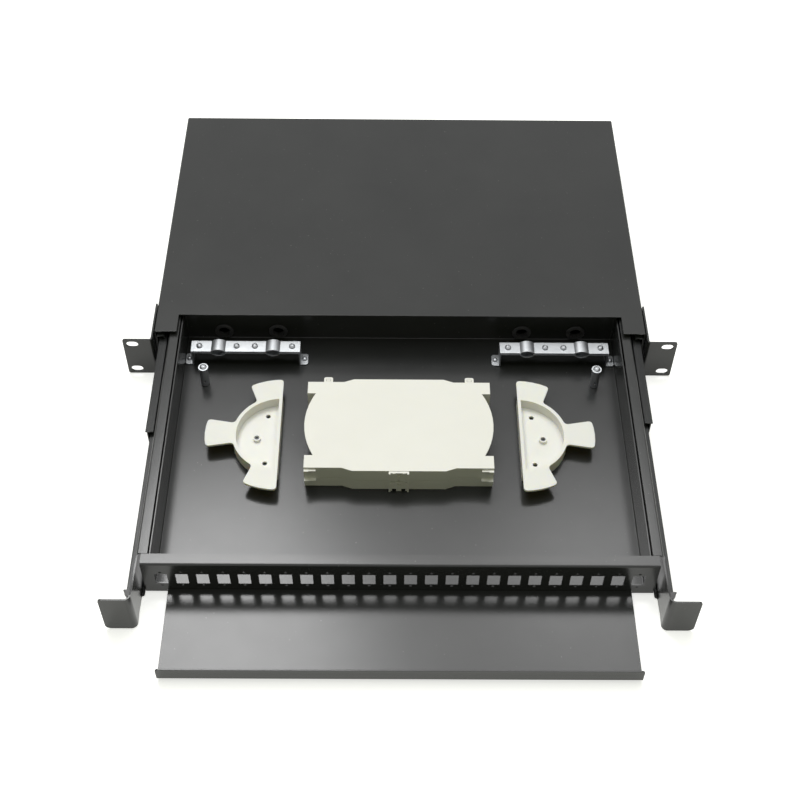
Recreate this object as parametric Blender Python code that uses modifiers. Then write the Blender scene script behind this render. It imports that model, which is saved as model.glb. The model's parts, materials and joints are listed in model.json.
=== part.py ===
"""A 19-inch one-unit fibre termination box with a sliding drawer, shown with the drawer pulled out.

Lengths are in metres. X runs to the right, Y to the back and Z up.
Depths are measured from the front face of the rack ears, which is Y = 0 until the last step
moves everything so that the origin is under the middle of the whole object.
"""

import math

import bmesh
import bpy
from mathutils import Matrix, Vector

# Sheet metal, and the gaps between neighbouring pieces
SHEET = 0.0012
BEND_RADIUS = 0.0012
SEAT = 0.0003
PLAY = 0.0003
OVERSHOOT = 0.0020
SMOOTH_ANGLE = 40

# Housing
RACK_WIDTH = 0.4826
EAR_REACH = 0.0263
HOUSING_HEIGHT = 0.0437
HOUSING_REAR = 0.303
HOUSING_SIDE_FRONT = 0.0105
COVER_TAB_WIDTH = 0.0198
COVER_NOTCH_DEPTH = 0.0200
SEAM_GAP = 0.0004
REAR_ENTRY_DIAMETER = 0.0200
REAR_ENTRY_INSET = 0.0638

# Rack ears
EAR_SHEET = 0.0016
EAR_LEG_DEPTH = 0.0437
EAR_CORNER = 0.0020
SLOT_INSET = 0.0081
SLOT_EDGE = 0.005975
SLOT_LENGTH = 0.0105
SLOT_HEIGHT = 0.0068
EAR_SCREW_DIAMETER = 0.0040
EAR_SCREW_HEAD = 0.0074
EAR_SCREW_DEPTHS = (0.0170, 0.0350)
EAR_SCREW_SUNK = 0.0001
EAR_SOCKET_DIAMETER = 0.0024
EAR_SOCKET_DEPTH = 0.0011

# Drawer, at rest in the pulled-out position
DRAWER_REAR = 0.0410
PANEL_FACE = -0.2258
LIP_FACE = -0.3027
PAN_GAP = 0.0010
DRAWER_FLOOR_TOP = 0.0040
DRAWER_HEADROOM = 0.0030
TRAY_SETBACK = 0.0117
LIP_TOP = 0.0170
REAR_HOLE_DIAMETER = 0.0150
REAR_HOLE_HEIGHT = 0.0132
REAR_HOLE_INSETS = (0.0817, 0.0331)
GROMMET_COLLAR = 0.0013
GROMMET_WALL = 0.0018
GROMMET_LIP = 0.0014

# Side channels and their handle flanges
CHANNEL_FLANGE = 0.0085
CHANNEL_BOTTOM_FLANGE = 0.0040
HANDLE_FACE = -0.2575
HANDLE_REACH = 0.0232
HANDLE_BEND = 0.0085
HANDLE_CORNER = 0.0045
HANDLE_TOP_CORNER = 0.0015
CHANNEL_SETBACK = 0.0030
CATCH_REACH = 0.0056
CATCH_DEPTH = 0.0058
CATCH_HEIGHT = 0.0080
CATCH_DROP = 0.0020

# Adapter panel
PORT_PITCH = 0.01604
PORT_WIDTH = 0.0098
PORT_HEIGHT = 0.0130
PORT_CENTRE_HEIGHT = 0.0195
PORT_SCREW_SPACING = 0.0180
PORT_SCREW_DIAMETER = 0.0024
PANEL_END_GAP = 0.0038
PANEL_FLANGE = 0.0100

# Slides
SLIDE_LENGTH = 0.250
SLIDE_OUTER_FRONT = 0.0090
SLIDE_INNER_FRONT = -0.2430
SLIDE_MIDDLE_FRONT_LEFT = -0.0940
SLIDE_MIDDLE_FRONT_RIGHT = -0.0820
SLIDE_FOOTROOM = 0.0035
SLIDE_HEADROOM = 0.0032
SLIDE_SHEET = 0.0011
BALL_DIAMETER = 0.0029
BALL_PLAY = 0.0002
BALLS_PER_ROW = 3
CAGE_LENGTH = 0.070
CAGE_SHEET = 0.0005
CAGE_GAP = 0.0004
RACEWAY_SLACK = 0.0028
RACEWAY_WIDTH = 0.0025
RACEWAY_CURL = 0.0022

# Cable clamps
CLAMP_INSET = 0.0550
CLAMP_CENTRE = 0.0126
CLAMP_DEPTH = 0.0126
CLAMP_BAR_LENGTH = 0.0964
CLAMP_FOOT = 0.0070
CLAMP_FOOT_CORNER = 0.0024
CLAMP_SHEET = 0.0012
CLAMP_TOP = 0.0222
CLAMP_OPEN = 0.0006
SADDLE_OFFSET = 0.0241
SADDLE_RADIUS = 0.0074
SADDLE_RISE = 0.0034
CLAMP_SCREW_OFFSETS = (0.0410, 0.0081)
CLAMP_SCREW_DIAMETER = 0.0030
CLAMP_SCREW_HEAD = 0.0056
CLAMP_SCREW_RISE = 0.0022
CLAMP_SCREW_TAIL = 0.0042
FOOT_SCREW_DIAMETER = 0.0022
FOOT_SCREW_HEAD = 0.0046
FOOT_SCREW_RISE = 0.0017
DRIVE_WIDTH = 0.0007
DRIVE_DEPTH = 0.0009

# Strength member posts
POST_INSET = 0.0203
POST_DEPTH = -0.0152
POST_DIAMETER = 0.0076
POST_TOP = 0.0250
POST_WASHER = 0.0088
POST_WASHER_SHEET = 0.0006
POST_SCREW_DIAMETER = 0.0026
POST_SCREW_HEAD = 0.0062
POST_SCREW_RISE = 0.0021
POST_THREAD = 0.0080
POST_CROSS_DIAMETER = 0.0022

# Fibre spools
SPOOL_INSET = 0.0903
SPOOL_DEPTH = -0.0795
SPOOL_TOP = 0.0160
SPOOL_FLANGE = 0.0020
SPOOL_BORE = 0.0373
SPOOL_WALL = 0.0030
SPOOL_EDGE_WALL = 0.0028
SPOOL_FLOOR = 0.0020
SPOOL_END_WING = 0.0588
SPOOL_END_ANGLE = 28.6
SPOOL_SIDE_WING = 0.0635
SPOOL_SIDE_ANGLE = 13.2
SPOOL_NECK_ANGLE = 3.6
SPOOL_TIP_RADIUS = 0.0028
SPOOL_NECK_RADIUS = 0.0036
SPOOL_HOLE_DIAMETER = 0.0042
SPOOL_HOLE_INSET = 0.0121
SPOOL_HOLE_SPREAD = 0.0252
SPOOL_SCREW_INSET = 0.0202
SPOOL_BOSS = 0.0066
SPOOL_BOSS_RISE = 0.0028
SPOOL_COUNTERBORE = 0.0004
SPOOL_SCREW_HEAD = 0.0038
SPOOL_SCREW_RISE = 0.0024
SPOOL_SCREW_DIAMETER = 0.0026
SPOOL_SOCKET = 0.0020
SPOOL_SOCKET_DEPTH = 0.0010

# Splice trays
TRAY_X = -0.0011
TRAY_DEPTH = -0.0800
TRAY_SPACE = 0.0235
TRAY_WIDTH = 0.0915
TRAY_BULGE = 0.0031
TRAY_SHOULDER = 0.0309
TRAY_SLOPE = 0.0085
TRAY_NOTCH = 0.0330
TRAY_NOTCH_DEPTH = 0.0071
LID_ARC_PROUD = 0.0013
TRAY_HEIGHT = 0.0116
TRAY_WALL = 0.0014
TRAY_FLOOR = 0.0012
LID_SHEET = 0.0012
LOOP_INSET = 0.0174
LOOP_WIDTH = 0.0076
LOOP_REACH = 0.0053
LOOP_BAR = 0.0018
LOOP_GAP = 0.0008
LOOP_CORNER = 0.0016
HOOK_DROP = 0.0045
CLIP_WIDTH = 0.0166
CLIP_PROUD = 0.0020
CLIP_RIB = 0.0014
CLIP_RIB_PROUD = 0.0007
CLIP_HOLE_DIAMETER = 0.0026
CLIP_HOLE_DROP = 0.0029
CLIP_FOOT_OFFSET = 0.0038
CLIP_FOOT_WIDTH = 0.0034
CLIP_FOOT_DEPTH = 0.0014
CLIP_FOOT_HEIGHT = 0.0030
TONGUE_DROP = 0.0068
TONGUE_PAD = 0.0022
TONGUE_PAD_OFFSET = 0.0041
TONGUE_PAD_PROUD = 0.0004
STACK_DROP = 0.0008
STACK_INSET = 0.0004
STACK_LENGTH = 0.0085
STACK_SHEET = 0.0010
STACK_PROUD = 0.0012
STACK_KNOB = 0.0028
STACK_KNOB_HEIGHT = 0.0018
STACK_KNOB_PROUD = 0.0020
STACK_FINS = (0.0032, 0.0066)
STACK_FIN = 0.0014
STACK_FIN_HEIGHT = 0.0042
STACK_FIN_PROUD = 0.0009
SPLICE_RIBS = 7
SPLICE_RIB = 0.0012
SPLICE_RIB_PITCH = 0.0046
SPLICE_RIB_LENGTH = 0.036
SPLICE_RIB_RISE = 0.0060
GUIDE_INSET = 0.0479
GUIDE_RADIUS = 0.0190
GUIDE_RISE = 0.0070

# Sizes that follow from the ones above
SHELL_HALF = RACK_WIDTH / 2 - EAR_REACH
SHELL_INNER = SHELL_HALF - SHEET
COVER_UNDERSIDE = HOUSING_HEIGHT - SHEET
SLOT_SPACING = HOUSING_HEIGHT - 2 * SLOT_EDGE
DRAWER_TOP = COVER_UNDERSIDE - DRAWER_HEADROOM
SLIDE_LOW = SHEET + SLIDE_FOOTROOM
SLIDE_HEIGHT = COVER_UNDERSIDE - SLIDE_HEADROOM - SLIDE_LOW
SLIDE_SPACE = 2 * (SEAT + SLIDE_SHEET + BALL_DIAMETER) + RACEWAY_SLACK
CHANNEL_HALF = SHELL_INNER - SLIDE_SPACE
CHANNEL_LOW = SHEET + PLAY
FLANGE_INNER = CHANNEL_HALF - CHANNEL_FLANGE
HANDLE_OUTER = CHANNEL_HALF + HANDLE_REACH
PAN_HALF = FLANGE_INNER - PAN_GAP
PAN_INNER = PAN_HALF - SHEET
TRAY_HALF = PAN_HALF - TRAY_SETBACK
PANEL_HALF = CHANNEL_HALF - PANEL_END_GAP
PORT_COUNT = int(2 * PANEL_HALF / PORT_PITCH)
SPOOL_EDGE = PAN_INNER - SPOOL_INSET

for old in list(bpy.data.objects):
    bpy.data.objects.remove(old, do_unlink=True)

scene = bpy.context.scene
scene.unit_settings.system = "METRIC"
scene.unit_settings.scale_length = 1.0


def new_collection(name, hidden):
    made = bpy.data.collections.new(name)
    scene.collection.children.link(made)
    made.hide_render = hidden
    return made


PARTS = new_collection("fiber_termination_box", False)
HELPERS = new_collection("cutters", True)


# Finish of each kind of piece: colour, metallic and roughness
POWDER = ((0.055, 0.057, 0.058), 0.0, 0.55)
SLIDE_STEEL = ((0.045, 0.046, 0.048), 0.6, 0.45)
ZINC = ((0.70, 0.71, 0.72), 1.0, 0.30)
WHITE = ((0.85, 0.84, 0.80), 0.0, 0.45)
RUBBER = ((0.02, 0.02, 0.02), 0.0, 0.80)
CATCH = ((0.03, 0.03, 0.03), 0.0, 0.45)

# How a flat drawing or a turned piece is laid along each axis
TURNS = {
    "Z": Matrix.Identity(4),
    "Y": Matrix(((1, 0, 0, 0), (0, 0, 1, 0), (0, 1, 0, 0), (0, 0, 0, 1))),
    "X": Matrix(((0, 0, 1, 0), (1, 0, 0, 0), (0, 1, 0, 0), (0, 0, 0, 1))),
}
# Outlines are drawn in millimetres, so that short edges fill cleanly, and then scaled to metres
DRAWN = 1000.0


def same(a, b):
    return abs(a - b) < 1e-6


def give_material(obj, finish):
    colour, metallic, roughness = finish
    made = bpy.data.materials.new(f"{obj.name}_finish")
    made.use_nodes = True
    shader = made.node_tree.nodes["Principled BSDF"]
    shader.inputs["Base Color"].default_value = (*colour, 1.0)
    shader.inputs["Metallic"].default_value = metallic
    shader.inputs["Roughness"].default_value = roughness
    obj.data.materials.append(made)


def arc(u, v, radius, start, end, steps):
    """Points of an arc in degrees, both ends included."""
    points = []
    for i in range(steps + 1):
        angle = math.radians(start + (end - start) * i / steps)
        points.append((u + radius * math.cos(angle), v + radius * math.sin(angle)))
    return points


def stadium(u, v, length, height, steps=6):
    r = height / 2
    half = length / 2 - r
    return arc(u + half, v, r, -90, 90, steps) + arc(u - half, v, r, 90, 270, steps)


def rectangle(u0, v0, u1, v1):
    return [(u0, v0), (u1, v0), (u1, v1), (u0, v1)]


def corner_cut(u, v, radius, turn_u, turn_v):
    """The scrap outside a rounded corner, which points along turn_u and turn_v."""
    a = u - turn_u * radius
    b = v - turn_v * radius
    over = OVERSHOOT
    points = [(u + turn_u * over, b), (u + turn_u * over, v + turn_v * over), (a, v + turn_v * over)]
    return points + [(a + turn_u * x, b + turn_v * y) for x, y in arc(0.0, 0.0, radius, 90, 0, 4)]


def fillet(before, here, after, radius, steps):
    """The points of the arc that rounds one corner of a line."""
    a = (before - here).normalized()
    b = (after - here).normalized()
    half = a.angle(b) / 2
    if half > math.radians(89):
        return [tuple(here)]
    reach = radius / math.tan(half)
    centre = here + (a + b).normalized() * (radius / math.sin(half))
    start = here + a * reach - centre
    end = here + b * reach - centre
    turn = start.angle(end)
    side = 1 if start.x * end.y - start.y * end.x > 0 else -1
    points = []
    for i in range(steps + 1):
        angle = side * turn * i / steps
        c = math.cos(angle)
        s = math.sin(angle)
        points.append((centre.x + c * start.x - s * start.y, centre.y + s * start.x + c * start.y))
    return points


def filleted(points, radius, steps=3):
    """An open line with each inner corner turned into a short arc."""
    line = [Vector(p) for p in points]
    made = [tuple(line[0])]
    for before, here, after in zip(line, line[1:], line[2:]):
        made += fillet(before, here, after, radius, steps)
    made.append(tuple(line[-1]))
    return made


def rounded(corners, steps=3):
    """A closed outline from points with a corner radius each, where 0 leaves the point as it is."""
    spots = [Vector((u, v)) for u, v, radius in corners]
    made = []
    for i, (u, v, radius) in enumerate(corners):
        if radius:
            made += fillet(spots[i - 1], spots[i], spots[(i + 1) % len(spots)], radius, steps)
        else:
            made.append((u, v))
    return made


def cross(u, v, length, width):
    """The outline of a cross with four equal arms."""
    a = length / 2
    b = width / 2
    arm = [(a, -b), (a, b), (b, b)]
    points = []
    for c, s in ((1, 0), (0, 1), (-1, 0), (0, -1)):
        points += [(u + c * x - s * y, v + s * x + c * y) for x, y in arm]
    return points


def dome_line(seat, head, rise):
    """Half of a domed screw head as radius and height, from its top down to its seat."""
    shares = [(0.0, 1.0), (0.55, 0.90), (0.90, 0.52), (1.0, 0.0)]
    return [(head / 2 * radius, seat + rise * height) for radius, height in shares]


def screw_line(seat, head, rise, thread, tip):
    """Half of a screw with a domed head, from its top to its tip."""
    return dome_line(seat, head, rise) + [(thread / 2, seat), (thread / 2, tip), (0.0, tip)]


def offset_line(points, distance, closed=False):
    """The line moved sideways to its left by the distance, with mitred corners."""
    line = [Vector(p) for p in points]
    count = len(line)
    made = []
    for i, here in enumerate(line):
        before = line[i - 1] if i or closed else None
        after = line[(i + 1) % count] if i < count - 1 or closed else None
        sides = []
        if before is not None:
            d = (here - before).normalized()
            sides.append(Vector((-d.y, d.x)))
        if after is not None:
            d = (after - here).normalized()
            sides.append(Vector((-d.y, d.x)))
        if len(sides) == 1:
            shift = sides[0] * distance
        else:
            middle = (sides[0] + sides[1]).normalized()
            shift = middle * (distance / middle.dot(sides[0]))
        made.append(tuple(here + shift))
    return made


def band(points, thickness):
    """The outline of sheet of a constant thickness that follows an open line."""
    return offset_line(points, thickness / 2) + offset_line(points, -thickness / 2)[::-1]


def drawn(outlines, low, high, axis="Z"):
    """A flat drawing of closed outlines, filled and given a thickness along X, Y or Z."""
    curve = bpy.data.curves.new("drawing", "CURVE")
    curve.dimensions = "2D"
    curve.fill_mode = "BOTH"
    curve.extrude = DRAWN * (high - low) / 2
    for outline in outlines:
        spline = curve.splines.new("POLY")
        spline.points.add(len(outline) - 1)
        for point, (u, v) in zip(spline.points, outline):
            point.co = (DRAWN * u, DRAWN * v, 0.0, 1.0)
        spline.use_cyclic_u = True
    drawing = bpy.data.objects.new("drawing", curve)
    HELPERS.objects.link(drawing)
    graph = bpy.context.evaluated_depsgraph_get()
    mesh = bpy.data.meshes.new_from_object(drawing.evaluated_get(graph))
    bpy.data.objects.remove(drawing, do_unlink=True)
    bpy.data.curves.remove(curve)
    lift = Matrix.Translation((0.0, 0.0, (low + high) / 2)) @ Matrix.Scale(1 / DRAWN, 4)
    mesh.transform(TURNS[axis] @ lift)
    shape = bmesh.new()
    shape.from_mesh(mesh)
    bmesh.ops.remove_doubles(shape, verts=shape.verts, dist=1e-6)
    k = "XYZ".index(axis)
    caps = [f for f in shape.faces if all(same(v.co[k], f.verts[0].co[k]) for v in f.verts)]
    bmesh.ops.delete(shape, geom=caps, context="FACES")
    rims = [e for e in shape.edges if e.is_boundary]
    bmesh.ops.holes_fill(shape, edges=rims, sides=0)
    return finished(shape, mesh)


def finished(shape, mesh=None):
    """The bmesh written to a mesh with its faces pointing out."""
    bmesh.ops.recalc_face_normals(shape, faces=shape.faces)
    if mesh is None:
        mesh = bpy.data.meshes.new("shape")
    mesh.clear_geometry()
    shape.to_mesh(mesh)
    shape.free()
    return shaded(mesh)


def shaded(mesh):
    """Smooth shading that stops at the corners."""
    mesh.shade_smooth()
    mesh.set_sharp_from_angle(angle=math.radians(SMOOTH_ANGLE))
    return mesh


def boxes(corners):
    """Boxes from pairs of opposite corners."""
    shape = bmesh.new()
    for low, high in corners:
        low = Vector(low)
        high = Vector(high)
        size = high - low
        place = Matrix.Translation((low + high) / 2) @ Matrix.Diagonal((*size, 1.0))
        bmesh.ops.create_cube(shape, size=1.0, matrix=place)
    return finished(shape)


def rods(centres, radius, length, axis="Z", steps=12):
    """Equal cylinders round their centres, along X, Y or Z."""
    shape = bmesh.new()
    for centre in centres:
        bmesh.ops.create_cone(
            shape,
            cap_ends=True,
            segments=steps,
            radius1=radius,
            radius2=radius,
            depth=length,
            matrix=Matrix.Translation(centre) @ TURNS[axis],
        )
    return finished(shape)


def balls(centres, diameter):
    shape = bmesh.new()
    for centre in centres:
        bmesh.ops.create_uvsphere(
            shape,
            u_segments=6,
            v_segments=4,
            radius=diameter / 2,
            matrix=Matrix.Translation(centre),
        )
    return finished(shape)


def helper(name, mesh):
    made = bpy.data.objects.new(name, mesh)
    HELPERS.objects.link(made)
    made.hide_render = True
    made.display_type = "WIRE"
    return made


def add_steps(obj, steps):
    """Boolean modifiers in order. Each step is an operation and the mesh or object that it uses."""
    for i, (operation, other) in enumerate(steps):
        modifier = obj.modifiers.new(f"{operation.lower()}_{i}", "BOOLEAN")
        modifier.operation = operation
        modifier.solver = "EXACT"
        if isinstance(other, bpy.types.Mesh):
            other = helper(f"{obj.name}_{operation.lower()}_{i}", other)
        modifier.object = other


def make(
    name,
    mesh,
    finish,
    joins=(),
    cuts=(),
    steps=None,
    origin=(0.0, 0.0, 0.0),
):
    """One piece, with the shapes that are joined to it and cut from it."""
    mesh.name = name
    mesh.transform(Matrix.Translation(-Vector(origin)))
    made = bpy.data.objects.new(name, mesh)
    made.location = origin
    PARTS.objects.link(made)
    give_material(made, finish)
    if steps is None:
        steps = [("UNION", other) for other in joins] + [("DIFFERENCE", other) for other in cuts]
    add_steps(made, steps)
    return made


def screwed(profile, steps, closed):
    """The mesh that a profile of radius and height makes when a Screw modifier turns it round Z."""
    shape = bmesh.new()
    spots = [shape.verts.new((radius, 0.0, height)) for radius, height in profile]
    for a, b in zip(spots, spots[1:] + spots[:1] if closed else spots[1:]):
        shape.edges.new((a, b))
    line = bpy.data.meshes.new("profile")
    shape.to_mesh(line)
    shape.free()
    turning = bpy.data.objects.new("profile", line)
    HELPERS.objects.link(turning)
    screw = turning.modifiers.new("turn", "SCREW")
    screw.axis = "Z"
    screw.steps = steps
    screw.render_steps = steps
    screw.use_merge_vertices = True
    screw.merge_threshold = 1e-5
    graph = bpy.context.evaluated_depsgraph_get()
    mesh = bpy.data.meshes.new_from_object(turning.evaluated_get(graph))
    bpy.data.objects.remove(turning, do_unlink=True)
    bpy.data.meshes.remove(line)
    return shaded(mesh)


def turned(name, profile, steps, centre, axis=(0, 0, 1), finish=None, cuts=(), closed=False):
    """A turned piece. Its profile runs down its outer side, from the top."""
    mesh = screwed(profile, steps, closed)
    if finish is None:
        made = helper(name, mesh)
    else:
        made = make(name, mesh, finish, cuts=cuts)
    made.location = centre
    made.rotation_euler = Vector((0, 0, 1)).rotation_difference(Vector(axis)).to_euler()
    return made


def grid(columns, rows, height):
    """A flat blank of sheet with its lines at the given places along X and Y."""
    shape = bmesh.new()
    bmesh.ops.create_grid(shape, x_segments=len(columns) - 1, y_segments=len(rows) - 1, size=1.0)
    for vertex in shape.verts:
        i = round((vertex.co.x + 1) / 2 * (len(columns) - 1))
        j = round((vertex.co.y + 1) / 2 * (len(rows) - 1))
        vertex.co = (columns[i], rows[j], height)
    return shape


def rim_edges(shape, test):
    """The open edges of a sheet whose two ends both pass the test."""
    return [e for e in shape.edges if e.is_boundary and all(test(v.co) for v in e.verts)]


def flange(shape, test, step):
    """Folds a flange out from the rim edges that pass the test."""
    made = bmesh.ops.extrude_edge_only(shape, edges=rim_edges(shape, test))["geom"]
    moved = [item for item in made if isinstance(item, bmesh.types.BMVert)]
    bmesh.ops.translate(shape, verts=moved, vec=step)


def sheet_metal(name, shape, thickness, finish, radius=BEND_RADIUS, cuts=(), mirrored=False):
    """Folded sheet from an open surface: the folds are rounded and the sheet gets its thickness."""
    bmesh.ops.remove_doubles(shape, verts=shape.verts, dist=1e-6)
    if mirrored:
        bmesh.ops.scale(shape, vec=(-1.0, 1.0, 1.0), verts=shape.verts)
    blank = finished(shape)
    blank.shade_flat()
    made = make(name, blank, finish)
    bevel = made.modifiers.new("folds", "BEVEL")
    bevel.width = radius
    bevel.segments = 2
    bevel.limit_method = "ANGLE"
    bevel.angle_limit = math.radians(50)
    solid = made.modifiers.new("sheet", "SOLIDIFY")
    solid.thickness = thickness
    solid.offset = 0.0
    solid.use_even_offset = True
    add_steps(made, [("DIFFERENCE", other) for other in cuts])
    return made


def sided(outline, side):
    return [(side * u, v) for u, v in outline]


SIDES = (("left", -1), ("right", 1))


# Housing shell: cover, side walls and bottom folded from one sheet, with a seam along the bottom
half = SHELL_HALF - SHEET / 2
top = HOUSING_HEIGHT - SHEET / 2
line = filleted(
    [
        (-SEAM_GAP / 2, SHEET / 2),
        (-half, SHEET / 2),
        (-half, top),
        (half, top),
        (half, SHEET / 2),
        (SEAM_GAP / 2, SHEET / 2),
    ],
    BEND_RADIUS,
)
notch_edge = HOUSING_SIDE_FRONT + COVER_NOTCH_DEPTH
notch_half = SHELL_HALF - COVER_TAB_WIDTH
notch = boxes(
    [
        (
            (-notch_half, HOUSING_SIDE_FRONT - OVERSHOOT, HOUSING_HEIGHT - SHEET - OVERSHOOT),
            (notch_half, notch_edge, HOUSING_HEIGHT + OVERSHOOT),
        )
    ]
)
screw_spots = [
    (side * SHELL_HALF, depth, HOUSING_HEIGHT / 2) for side in (-1, 1) for depth in EAR_SCREW_DEPTHS
]
make(
    "housing_shell",
    drawn([band(line, SHEET)], HOUSING_SIDE_FRONT, HOUSING_REAR, "Y"),
    POWDER,
    cuts=(notch, rods(screw_spots, EAR_SCREW_DIAMETER / 2 + PLAY, 4 * SHEET, "X")),
)

# Rear panel: closes the back between the walls of the shell, with two cable entries
panel_half = SHELL_INNER - SEAT
entry_x = SHELL_INNER - REAR_ENTRY_INSET
entries = [(side * entry_x, HOUSING_REAR, HOUSING_HEIGHT / 2) for side in (-1, 1)]
make(
    "rear_panel",
    drawn(
        [rectangle(-panel_half, SHEET + SEAT, panel_half, HOUSING_HEIGHT - SHEET - SEAT)],
        HOUSING_REAR - SHEET,
        HOUSING_REAR,
        "Y",
    ),
    POWDER,
    cuts=(rods(entries, REAR_ENTRY_DIAMETER / 2, 4 * SHEET, "Y", 20),),
)

# Rack ears: a folded bracket on each side wall, fixed with two countersunk screws
leg = SHELL_HALF + SEAT + EAR_SHEET / 2
leg_outside = leg + EAR_SHEET / 2
slot_x = RACK_WIDTH / 2 - SLOT_INSET
head_depth = (EAR_SCREW_HEAD - EAR_SCREW_DIAMETER) / 2
for name, side in SIDES:
    line = [(leg, EAR_LEG_DEPTH), (leg, EAR_SHEET / 2), (RACK_WIDTH / 2, EAR_SHEET / 2)]
    outline = sided(band(filleted(line, EAR_SHEET, 3), EAR_SHEET), side)
    slots = [
        stadium(side * slot_x, HOUSING_HEIGHT / 2 + up * SLOT_SPACING / 2, SLOT_LENGTH, SLOT_HEIGHT)
        for up in (-1, 1)
    ]
    corners = [
        corner_cut(side * RACK_WIDTH / 2, height, EAR_CORNER, side, up)
        for height, up in ((0.0, -1), (HOUSING_HEIGHT, 1))
    ]
    cuts = [
        drawn(slots, -OVERSHOOT, EAR_SHEET + OVERSHOOT, "Y"),
        drawn(corners, -OVERSHOOT, EAR_SHEET + OVERSHOOT, "Y"),
    ]
    for number, depth in enumerate(EAR_SCREW_DEPTHS, 1):
        sink = [
            (0.0, leg_outside + OVERSHOOT),
            (EAR_SCREW_HEAD / 2 + PLAY, leg_outside + OVERSHOOT),
            (EAR_SCREW_HEAD / 2 + PLAY, leg_outside),
            (EAR_SCREW_DIAMETER / 2 + PLAY, leg_outside - head_depth),
            (EAR_SCREW_DIAMETER / 2 + PLAY, leg_outside - EAR_SHEET - OVERSHOOT),
            (0.0, leg_outside - EAR_SHEET - OVERSHOOT),
        ]
        centre = (0.0, depth, HOUSING_HEIGHT / 2)
        cuts.append(turned(f"sink_{name}_{number}", sink, 12, centre, (side, 0, 0)))
        flush = leg_outside - EAR_SCREW_SUNK
        screw = [
            (0.0, flush),
            (EAR_SCREW_HEAD / 2, flush),
            (EAR_SCREW_DIAMETER / 2, flush - head_depth),
            (EAR_SCREW_DIAMETER / 2, SHELL_INNER + SEAT),
            (0.0, SHELL_INNER + SEAT),
        ]
        socket = [(side * flush, depth, HOUSING_HEIGHT / 2)]
        drive = rods(socket, EAR_SOCKET_DIAMETER / 2, 2 * EAR_SOCKET_DEPTH, "X", 6)
        turned(
            f"ear_screw_{name}_{number}",
            screw,
            12,
            centre,
            (side, 0, 0),
            SLIDE_STEEL,
            cuts=(drive,),
        )
    make(f"rack_ear_{name}", drawn([outline], 0.0, HOUSING_HEIGHT, "Z"), POWDER, cuts=cuts)

# Slides: three nested steel members a side, with two ball cages between them
slide_out = SHELL_INNER - SEAT
slide_in = CHANNEL_HALF + SEAT
sheet = SLIDE_SHEET
raceway = BALL_DIAMETER + 2 * BALL_PLAY
outer_half = SLIDE_HEIGHT / 2
middle_half = outer_half - sheet - raceway
inner_half = middle_half - sheet - raceway
outer_web = slide_out - sheet / 2
middle_web = slide_in + (slide_out - slide_in) * 0.60
inner_web = slide_in + sheet / 2
middle_reach = middle_web + (outer_web - middle_web) * 0.45
middle_inward = slide_in + CAGE_GAP + sheet * 0.9
inner_reach = middle_web - sheet / 2 - 2 * CAGE_GAP - CAGE_SHEET
outer_ball = (middle_web + outer_web) / 2 - CAGE_GAP
inner_ball = (middle_web + inner_web) / 2 + CAGE_GAP
middle_fronts = {"left": SLIDE_MIDDLE_FRONT_LEFT, "right": SLIDE_MIDDLE_FRONT_RIGHT}
centre_z = SLIDE_LOW + SLIDE_HEIGHT / 2


def channel_line(web, end, reach, curl=0.0):
    """The middle line of a C-shaped member, with its flange ends curled in by a length."""
    points = [(end, reach), (web, reach), (web, -reach), (end, -reach)]
    if curl:
        points = [(end, reach - curl)] + points + [(end, curl - reach)]
    return [(u, centre_z + v) for u, v in points]


for name, side in SIDES:
    front = middle_fronts[name]
    line = channel_line(outer_web, middle_web - RACEWAY_WIDTH, outer_half - sheet / 2, RACEWAY_CURL)
    make(
        f"slide_outer_{name}",
        drawn(
            [sided(band(filleted(line, sheet * 0.8, 2), sheet), side)],
            SLIDE_OUTER_FRONT,
            SLIDE_OUTER_FRONT + SLIDE_LENGTH,
            "Y",
        ),
        SLIDE_STEEL,
    )
    half_web = sheet / 2
    quarter = [
        (middle_inward, middle_half),
        (middle_reach, middle_half),
        (middle_reach, middle_half - sheet),
        (middle_web + half_web, middle_half - sheet),
    ]
    inside = [(middle_web - half_web, middle_half - sheet), (middle_inward, middle_half - sheet)]
    outline = quarter + [(u, -v) for u, v in quarter[::-1]] + [(u, -v) for u, v in inside[::-1]] + inside
    outline = [(u, centre_z + v) for u, v in outline]
    make(
        f"slide_middle_{name}",
        drawn([sided(outline, side)], front, front + SLIDE_LENGTH, "Y"),
        SLIDE_STEEL,
    )
    line = channel_line(inner_web, inner_reach, inner_half - sheet / 2)
    make(
        f"slide_inner_{name}",
        drawn(
            [sided(band(filleted(line, sheet * 0.8, 2), sheet), side)],
            SLIDE_INNER_FRONT,
            SLIDE_INNER_FRONT + SLIDE_LENGTH,
            "Y",
        ),
        SLIDE_STEEL,
    )
    for which, ball_x, height, rest, web in (
        (
            "outer",
            outer_ball,
            middle_half + raceway / 2,
            (SLIDE_OUTER_FRONT + front + SLIDE_LENGTH) / 2,
            middle_reach + CAGE_GAP + CAGE_SHEET / 2,
        ),
        (
            "inner",
            inner_ball,
            inner_half + raceway / 2,
            (front + SLIDE_INNER_FRONT + SLIDE_LENGTH) / 2,
            middle_web - sheet / 2 - CAGE_GAP - CAGE_SHEET / 2,
        ),
    ):
        line = channel_line(web, ball_x - BALL_DIAMETER / 3, height)
        spots = []
        for k in range(BALLS_PER_ROW):
            step = (k - (BALLS_PER_ROW - 1) / 2) * CAGE_LENGTH * 0.9 / BALLS_PER_ROW
            spots += [(side * ball_x, rest + step, centre_z + up * height) for up in (-1, 1)]
        make(
            f"ball_cage_{which}_{name}",
            drawn(
                [sided(band(line, CAGE_SHEET), side)],
                rest - CAGE_LENGTH / 2,
                rest + CAGE_LENGTH / 2,
                "Y",
            ),
            ZINC,
            joins=(balls(spots, BALL_DIAMETER),),
        )

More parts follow.
